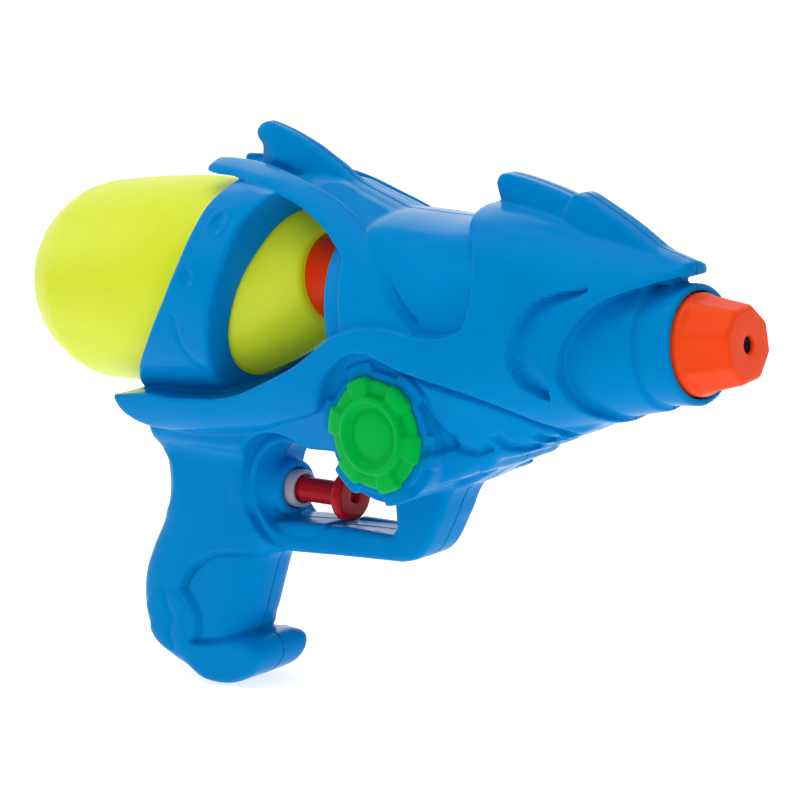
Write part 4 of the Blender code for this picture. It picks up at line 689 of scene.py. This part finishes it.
# ---------------------------------------------------------------- materials
def plastic(name, colour, deep, rough=0.32, grain=0.05, shine=0.25, glow=0.0, tint=(1.0, 1.0, 1.0), painted_top_sheen=0.0):
    """A moulded plastic: two near tones in soft clouds, uneven gloss, a fine skin and faint flow marks; the top-sheen
    argument adds gloss to faces that look up, a painted highlight.
    """
    mat = bpy.data.materials.new(name)
    mat.use_nodes = True
    nt = mat.node_tree
    bsdf = nt.nodes["Principled BSDF"]
    at = nt.nodes.new("ShaderNodeTexCoord")

    def noise(scale, detail, roughness=0.5):
        n = nt.nodes.new("ShaderNodeTexNoise")
        n.inputs["Scale"].default_value = scale
        n.inputs["Detail"].default_value = detail
        n.inputs["Roughness"].default_value = roughness
        nt.links.new(at.outputs["Object"], n.inputs["Vector"])
        return n.outputs["Fac"]

    def spread(value, low, high, a, b):
        m = nt.nodes.new("ShaderNodeMapRange")
        m.inputs["From Min"].default_value = low
        m.inputs["From Max"].default_value = high
        m.inputs["To Min"].default_value = a
        m.inputs["To Max"].default_value = b
        nt.links.new(value, m.inputs["Value"])
        return m.outputs["Result"]

    mix = nt.nodes.new("ShaderNodeMix")
    mix.data_type = 'RGBA'
    mix.inputs[6].default_value = (*colour, 1)
    mix.inputs[7].default_value = (*deep, 1)
    nt.links.new(spread(noise(38.0, 4.0, 0.6), 0.3, 0.75, 0.0, 1.0), mix.inputs[0])
    nt.links.new(mix.outputs[2], bsdf.inputs["Base Color"])
    nt.links.new(spread(noise(110.0, 3.0), 0.3, 0.7, rough - 0.05, rough + 0.06), bsdf.inputs["Roughness"])
    fine = noise(1400.0, 2.0)
    wave = noise(160.0, 2.0)
    add = nt.nodes.new("ShaderNodeMath")
    add.operation = 'MULTIPLY_ADD'
    add.inputs[1].default_value = 2.0
    nt.links.new(wave, add.inputs[0])
    nt.links.new(fine, add.inputs[2])
    bump = nt.nodes.new("ShaderNodeBump")
    bump.inputs["Strength"].default_value = grain
    bump.inputs["Distance"].default_value = 0.0004
    nt.links.new(add.outputs[0], bump.inputs["Height"])
    nt.links.new(bump.outputs["Normal"], bsdf.inputs["Normal"])
    bsdf.inputs["IOR"].default_value = 1.5
    bsdf.inputs["Specular IOR Level"].default_value = shine
    bsdf.inputs["Specular Tint"].default_value = (*tint, 1)
    # painted highlight: gloss rises on faces that look up, where the overhead light reflects
    if painted_top_sheen:
        facing = nt.nodes.new("ShaderNodeNewGeometry")
        parts = nt.nodes.new("ShaderNodeSeparateXYZ")
        nt.links.new(facing.outputs["Normal"], parts.inputs[0])
        nt.links.new(spread(parts.outputs["Z"], 0.86, 0.96, shine, shine + painted_top_sheen), bsdf.inputs["Specular IOR Level"])
    if glow:
        bsdf.inputs["Subsurface Weight"].default_value = glow
        bsdf.inputs["Subsurface Radius"].default_value = (1.0, 0.9, 0.3)
        bsdf.inputs["Subsurface Scale"].default_value = 0.004
    return mat


def lin(r, g, b):
    return tuple((c / 255 / 12.92) if c / 255 <= 0.04045 else ((c / 255 + 0.055) / 1.055) ** 2.4 for c in (r, g, b))


# the blue gets painted highlight gloss on its upward faces
BLUE = plastic("blue", lin(0, 134, 203), lin(0, 125, 195), 0.18, 0.03, 0.03, tint=(0.02, 0.6, 0.95), painted_top_sheen=0.85)
YELLOW = plastic("yellow", lin(208, 222, 46), lin(198, 214, 30), 0.36, 0.04, 0.3, glow=0.45)
# painted glow: a faint emission stands in for light that comes through the thin wall of the bottle from behind
YELLOW.node_tree.nodes["Principled BSDF"].inputs["Emission Color"].default_value = (*lin(206, 216, 10), 1)
YELLOW.node_tree.nodes["Principled BSDF"].inputs["Emission Strength"].default_value = 0.13
RED = plastic("red_collar", lin(240, 58, 8), lin(230, 48, 4), 0.34, 0.05, 0.2, tint=(1.0, 0.5, 0.3))
GREEN = plastic("green", lin(0, 178, 68), lin(0, 168, 60), 0.32, 0.05, 0.13, tint=(0.02, 0.95, 0.35))
ORANGE = plastic("orange", lin(246, 76, 26), lin(240, 64, 18), 0.34, 0.05, 0.2, tint=(1.0, 0.5, 0.3))
# painted shade for the inside of the nozzle's bore
BORE_PAINTED_SHADE = plastic("bore_painted_shade", lin(38, 30, 40), lin(24, 20, 30), 0.5, 0.05)
DARK_RED = plastic("dark_red", lin(178, 20, 34), lin(160, 12, 24), 0.24, 0.04, 0.25, tint=(1.0, 0.4, 0.4))
GREY = plastic("pump_grey", lin(168, 166, 178), lin(152, 150, 164), 0.38, 0.05)
NATURAL = plastic("natural", lin(226, 226, 220), lin(214, 214, 208), 0.42, 0.05)
HOSE = plastic("hose", lin(206, 212, 214), lin(190, 198, 202), 0.3, 0.03)
RUBBER = plastic("rubber", lin(34, 34, 34), lin(22, 22, 22), 0.55, 0.08)
STEEL = plastic("steel", lin(196, 196, 200), lin(168, 168, 174), 0.26, 0.03, 0.5)
STEEL.node_tree.nodes["Principled BSDF"].inputs["Metallic"].default_value = 1.0

SLOTS = {"casing_blue": BLUE, "tank_yellow": YELLOW, "cap_red": RED, "dial_green": GREEN, "nozzle_orange": ORANGE, "trigger_red": DARK_RED,
         "pump_grey": GREY, "valve_natural": NATURAL, "hose_clear": HOSE, "seal_black": RUBBER, "steel": STEEL}


def spring_piece(name, x0, x1, r, wire, turns, turn):
    """A compression spring along X with its end turns closed up, then turned into place."""
    t = np.linspace(0, 1, int(turns * 24) + 1)
    lead = np.minimum(t * turns, 1) * 0.5 + np.minimum((1 - t) * turns, 1) * 0.5
    run = t - 0.35 / turns * np.sin(2 * math.pi * t) * lead
    a = 2 * math.pi * turns * t
    out = np.stack([0 * a, np.cos(a), np.sin(a)], 1)
    path = out * r
    path[:, 0] = x0 + (x1 - x0) * run
    way = np.gradient(path, axis=0)
    way /= np.linalg.norm(way, axis=1)[:, None]
    side = np.cross(way, out)
    bm = bmesh.new()
    rings = []
    for p, o, q in zip(path, out, side):
        rings.append([bm.verts.new((p + wire * (math.cos(w) * o + math.sin(w) * q)) * MM) for w in np.arange(8) * math.pi / 4])
    for ring, after in zip(rings, rings[1:]):
        for k in range(8):
            bm.faces.new((ring[k], ring[(k + 1) % 8], after[(k + 1) % 8], after[k]))
    bm.faces.new(rings[0][::-1])
    bm.faces.new(rings[-1])
    bmesh.ops.recalc_face_normals(bm, faces=bm.faces)
    mesh = bpy.data.meshes.new(name)
    bm.to_mesh(mesh)
    bm.free()
    mesh.transform(turn)
    mesh.shade_smooth()
    return link(mesh, name)


def place(obj, body, node, slot_name):
    """Stand a detailed piece in for its CAD node."""
    if not obj.data.materials:
        obj.data.materials.append(SLOTS[slot_name])
    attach(obj, body)
    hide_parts(node)


right_half, left_half = casing_halves()
place(right_half, "casing", "casing_right", "casing_blue")
place(left_half, "casing", "casing_left", "casing_blue")
place(tank_piece(), "tank", "tank", "tank_yellow")
place(cap_piece(), "tank_cap", "tank_cap", "cap_red")
place(nozzle_piece(), "nozzle", "nozzle", "nozzle_orange")
place(button_piece(), "trigger", "trigger", "trigger_red")
place(rod_piece(), "trigger", "piston_rod", "trigger_red")
place(cylinder_piece(), "casing", "pump_cylinder", "pump_grey")
place(dial_piece("dial_face_right", -1), "dial_right", "dial_right", "dial_green")
place(dial_piece("dial_face_left", 1), "dial_left", "dial_left", "dial_green")

pump_line = Matrix.Translation((0.020, 0, PUMP_Z * MM)) @ Matrix.Rotation(math.radians(4.0), 4, 'Y')
coil_return = spring_piece("return_coil", -31.4, -9.5, 3.0, 0.35, 7, pump_line)
place(coil_return, "casing", "return_spring", "steel")
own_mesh(coil_return)
coil_inlet = spring_piece("inlet_coil", 15.9, 18.35, 1.25, 0.2, 3, Matrix.Translation((-0.015, -0.0042, 0)) @ Matrix.Rotation(math.radians(-90), 4, 'Y'))
place(coil_inlet, "casing", "inlet_spring", "steel")
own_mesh(coil_inlet)

node_slot = {s["node"]: s["material_slot"] for s in frame["record"].get("subparts", [])}
for node, obj in frame["nodes"].items():
    mat = SLOTS[node_slot[node]]
    obj.data.materials.clear()
    obj.data.materials.append(mat)

# ---------------------------------------------------------------- floor, light and camera
scene = bpy.context.scene


def plain(name, colour, rough):
    mat = bpy.data.materials.new(name)
    mat.use_nodes = True
    bsdf = mat.node_tree.nodes["Principled BSDF"]
    bsdf.inputs["Base Color"].default_value = (*colour, 1)
    bsdf.inputs["Roughness"].default_value = rough
    return mat


bm = bmesh.new()
profile = [(-6.0, 0.0), (1.2, 0.0)] + [(1.2 + 1.2 * math.sin(math.radians(a)), 1.2 - 1.2 * math.cos(math.radians(a))) for a in range(10, 91, 10)] + [(2.4, 4.0)]
rows = [[bm.verts.new((x, d, h - 0.0415)) for d, h in profile] for x in (-6.0, 6.0)]
for a, b, c, d in zip(rows[0], rows[0][1:], rows[1][1:], rows[1]):
    bm.faces.new((a, d, c, b))
mesh = bpy.data.meshes.new("floor")
bm.to_mesh(mesh)
bm.free()
mesh.shade_smooth()
floor = link(mesh, "floor")
floor.rotation_euler = (0, 0, math.radians(41))
pale = plain("floor_pale", (0.55, 0.55, 0.55), 0.7)
pale.node_tree.nodes["Principled BSDF"].inputs["Emission Color"].default_value = (1, 1, 1, 1)
pale.node_tree.nodes["Principled BSDF"].inputs["Emission Strength"].default_value = 0.75
floor.data.materials.append(pale)

world = bpy.data.worlds.new("studio")
scene.world = world
world.use_nodes = True
world.node_tree.nodes["Background"].inputs["Color"].default_value = (1, 1, 1, 1)
world.node_tree.nodes["Background"].inputs["Strength"].default_value = 0.25


def lamp(name, at, target, size, power):
    data = bpy.data.lights.new(name, 'AREA')
    data.shape = 'RECTANGLE'
    data.size, data.size_y = size
    data.energy = power
    obj = bpy.data.objects.new(name, data)
    scene.collection.objects.link(obj)
    obj.location = at
    obj.rotation_euler = (Vector(target) - Vector(at)).to_track_quat('-Z', 'Y').to_euler()
    return obj


lamp("top", (0.05, -0.1, 1.1), (0.05, 0, 0.03), (1.1, 0.9), 7.8)
lamp("front", (0.75, -0.95, 0.55), (0.05, 0, 0.03), (0.7, 0.7), 2.9)
lamp("rear_side", (-0.9, -0.5, 0.6), (0.0, 0, 0.03), (0.6, 0.8), 2.0)

view = bpy.data.cameras.new("camera")
view.sensor_width = 36.0
view.lens = 118.8
view.dof.use_dof = False
view.clip_start, view.clip_end = 0.01, 50.0
camera = bpy.data.objects.new("camera", view)
scene.collection.objects.link(camera)
az, el, roll = math.radians(41.0), math.radians(8.0), math.radians(5.5)
back = Vector((math.sin(az) * math.cos(el), -math.cos(az) * math.cos(el), math.sin(el)))
flat_right = Vector((math.cos(az), math.sin(az), 0.0))
flat_up = back.cross(flat_right)
right = flat_right * math.cos(roll) - flat_up * math.sin(roll)
up = flat_right * math.sin(roll) + flat_up * math.cos(roll)
turn = Matrix((right, up, back)).transposed().to_4x4()
camera.matrix_world = Matrix.Translation(Vector((484.2, -493.2, 127.4)) * MM) @ turn
scene.camera = camera
scene.view_settings.view_transform = 'Standard'
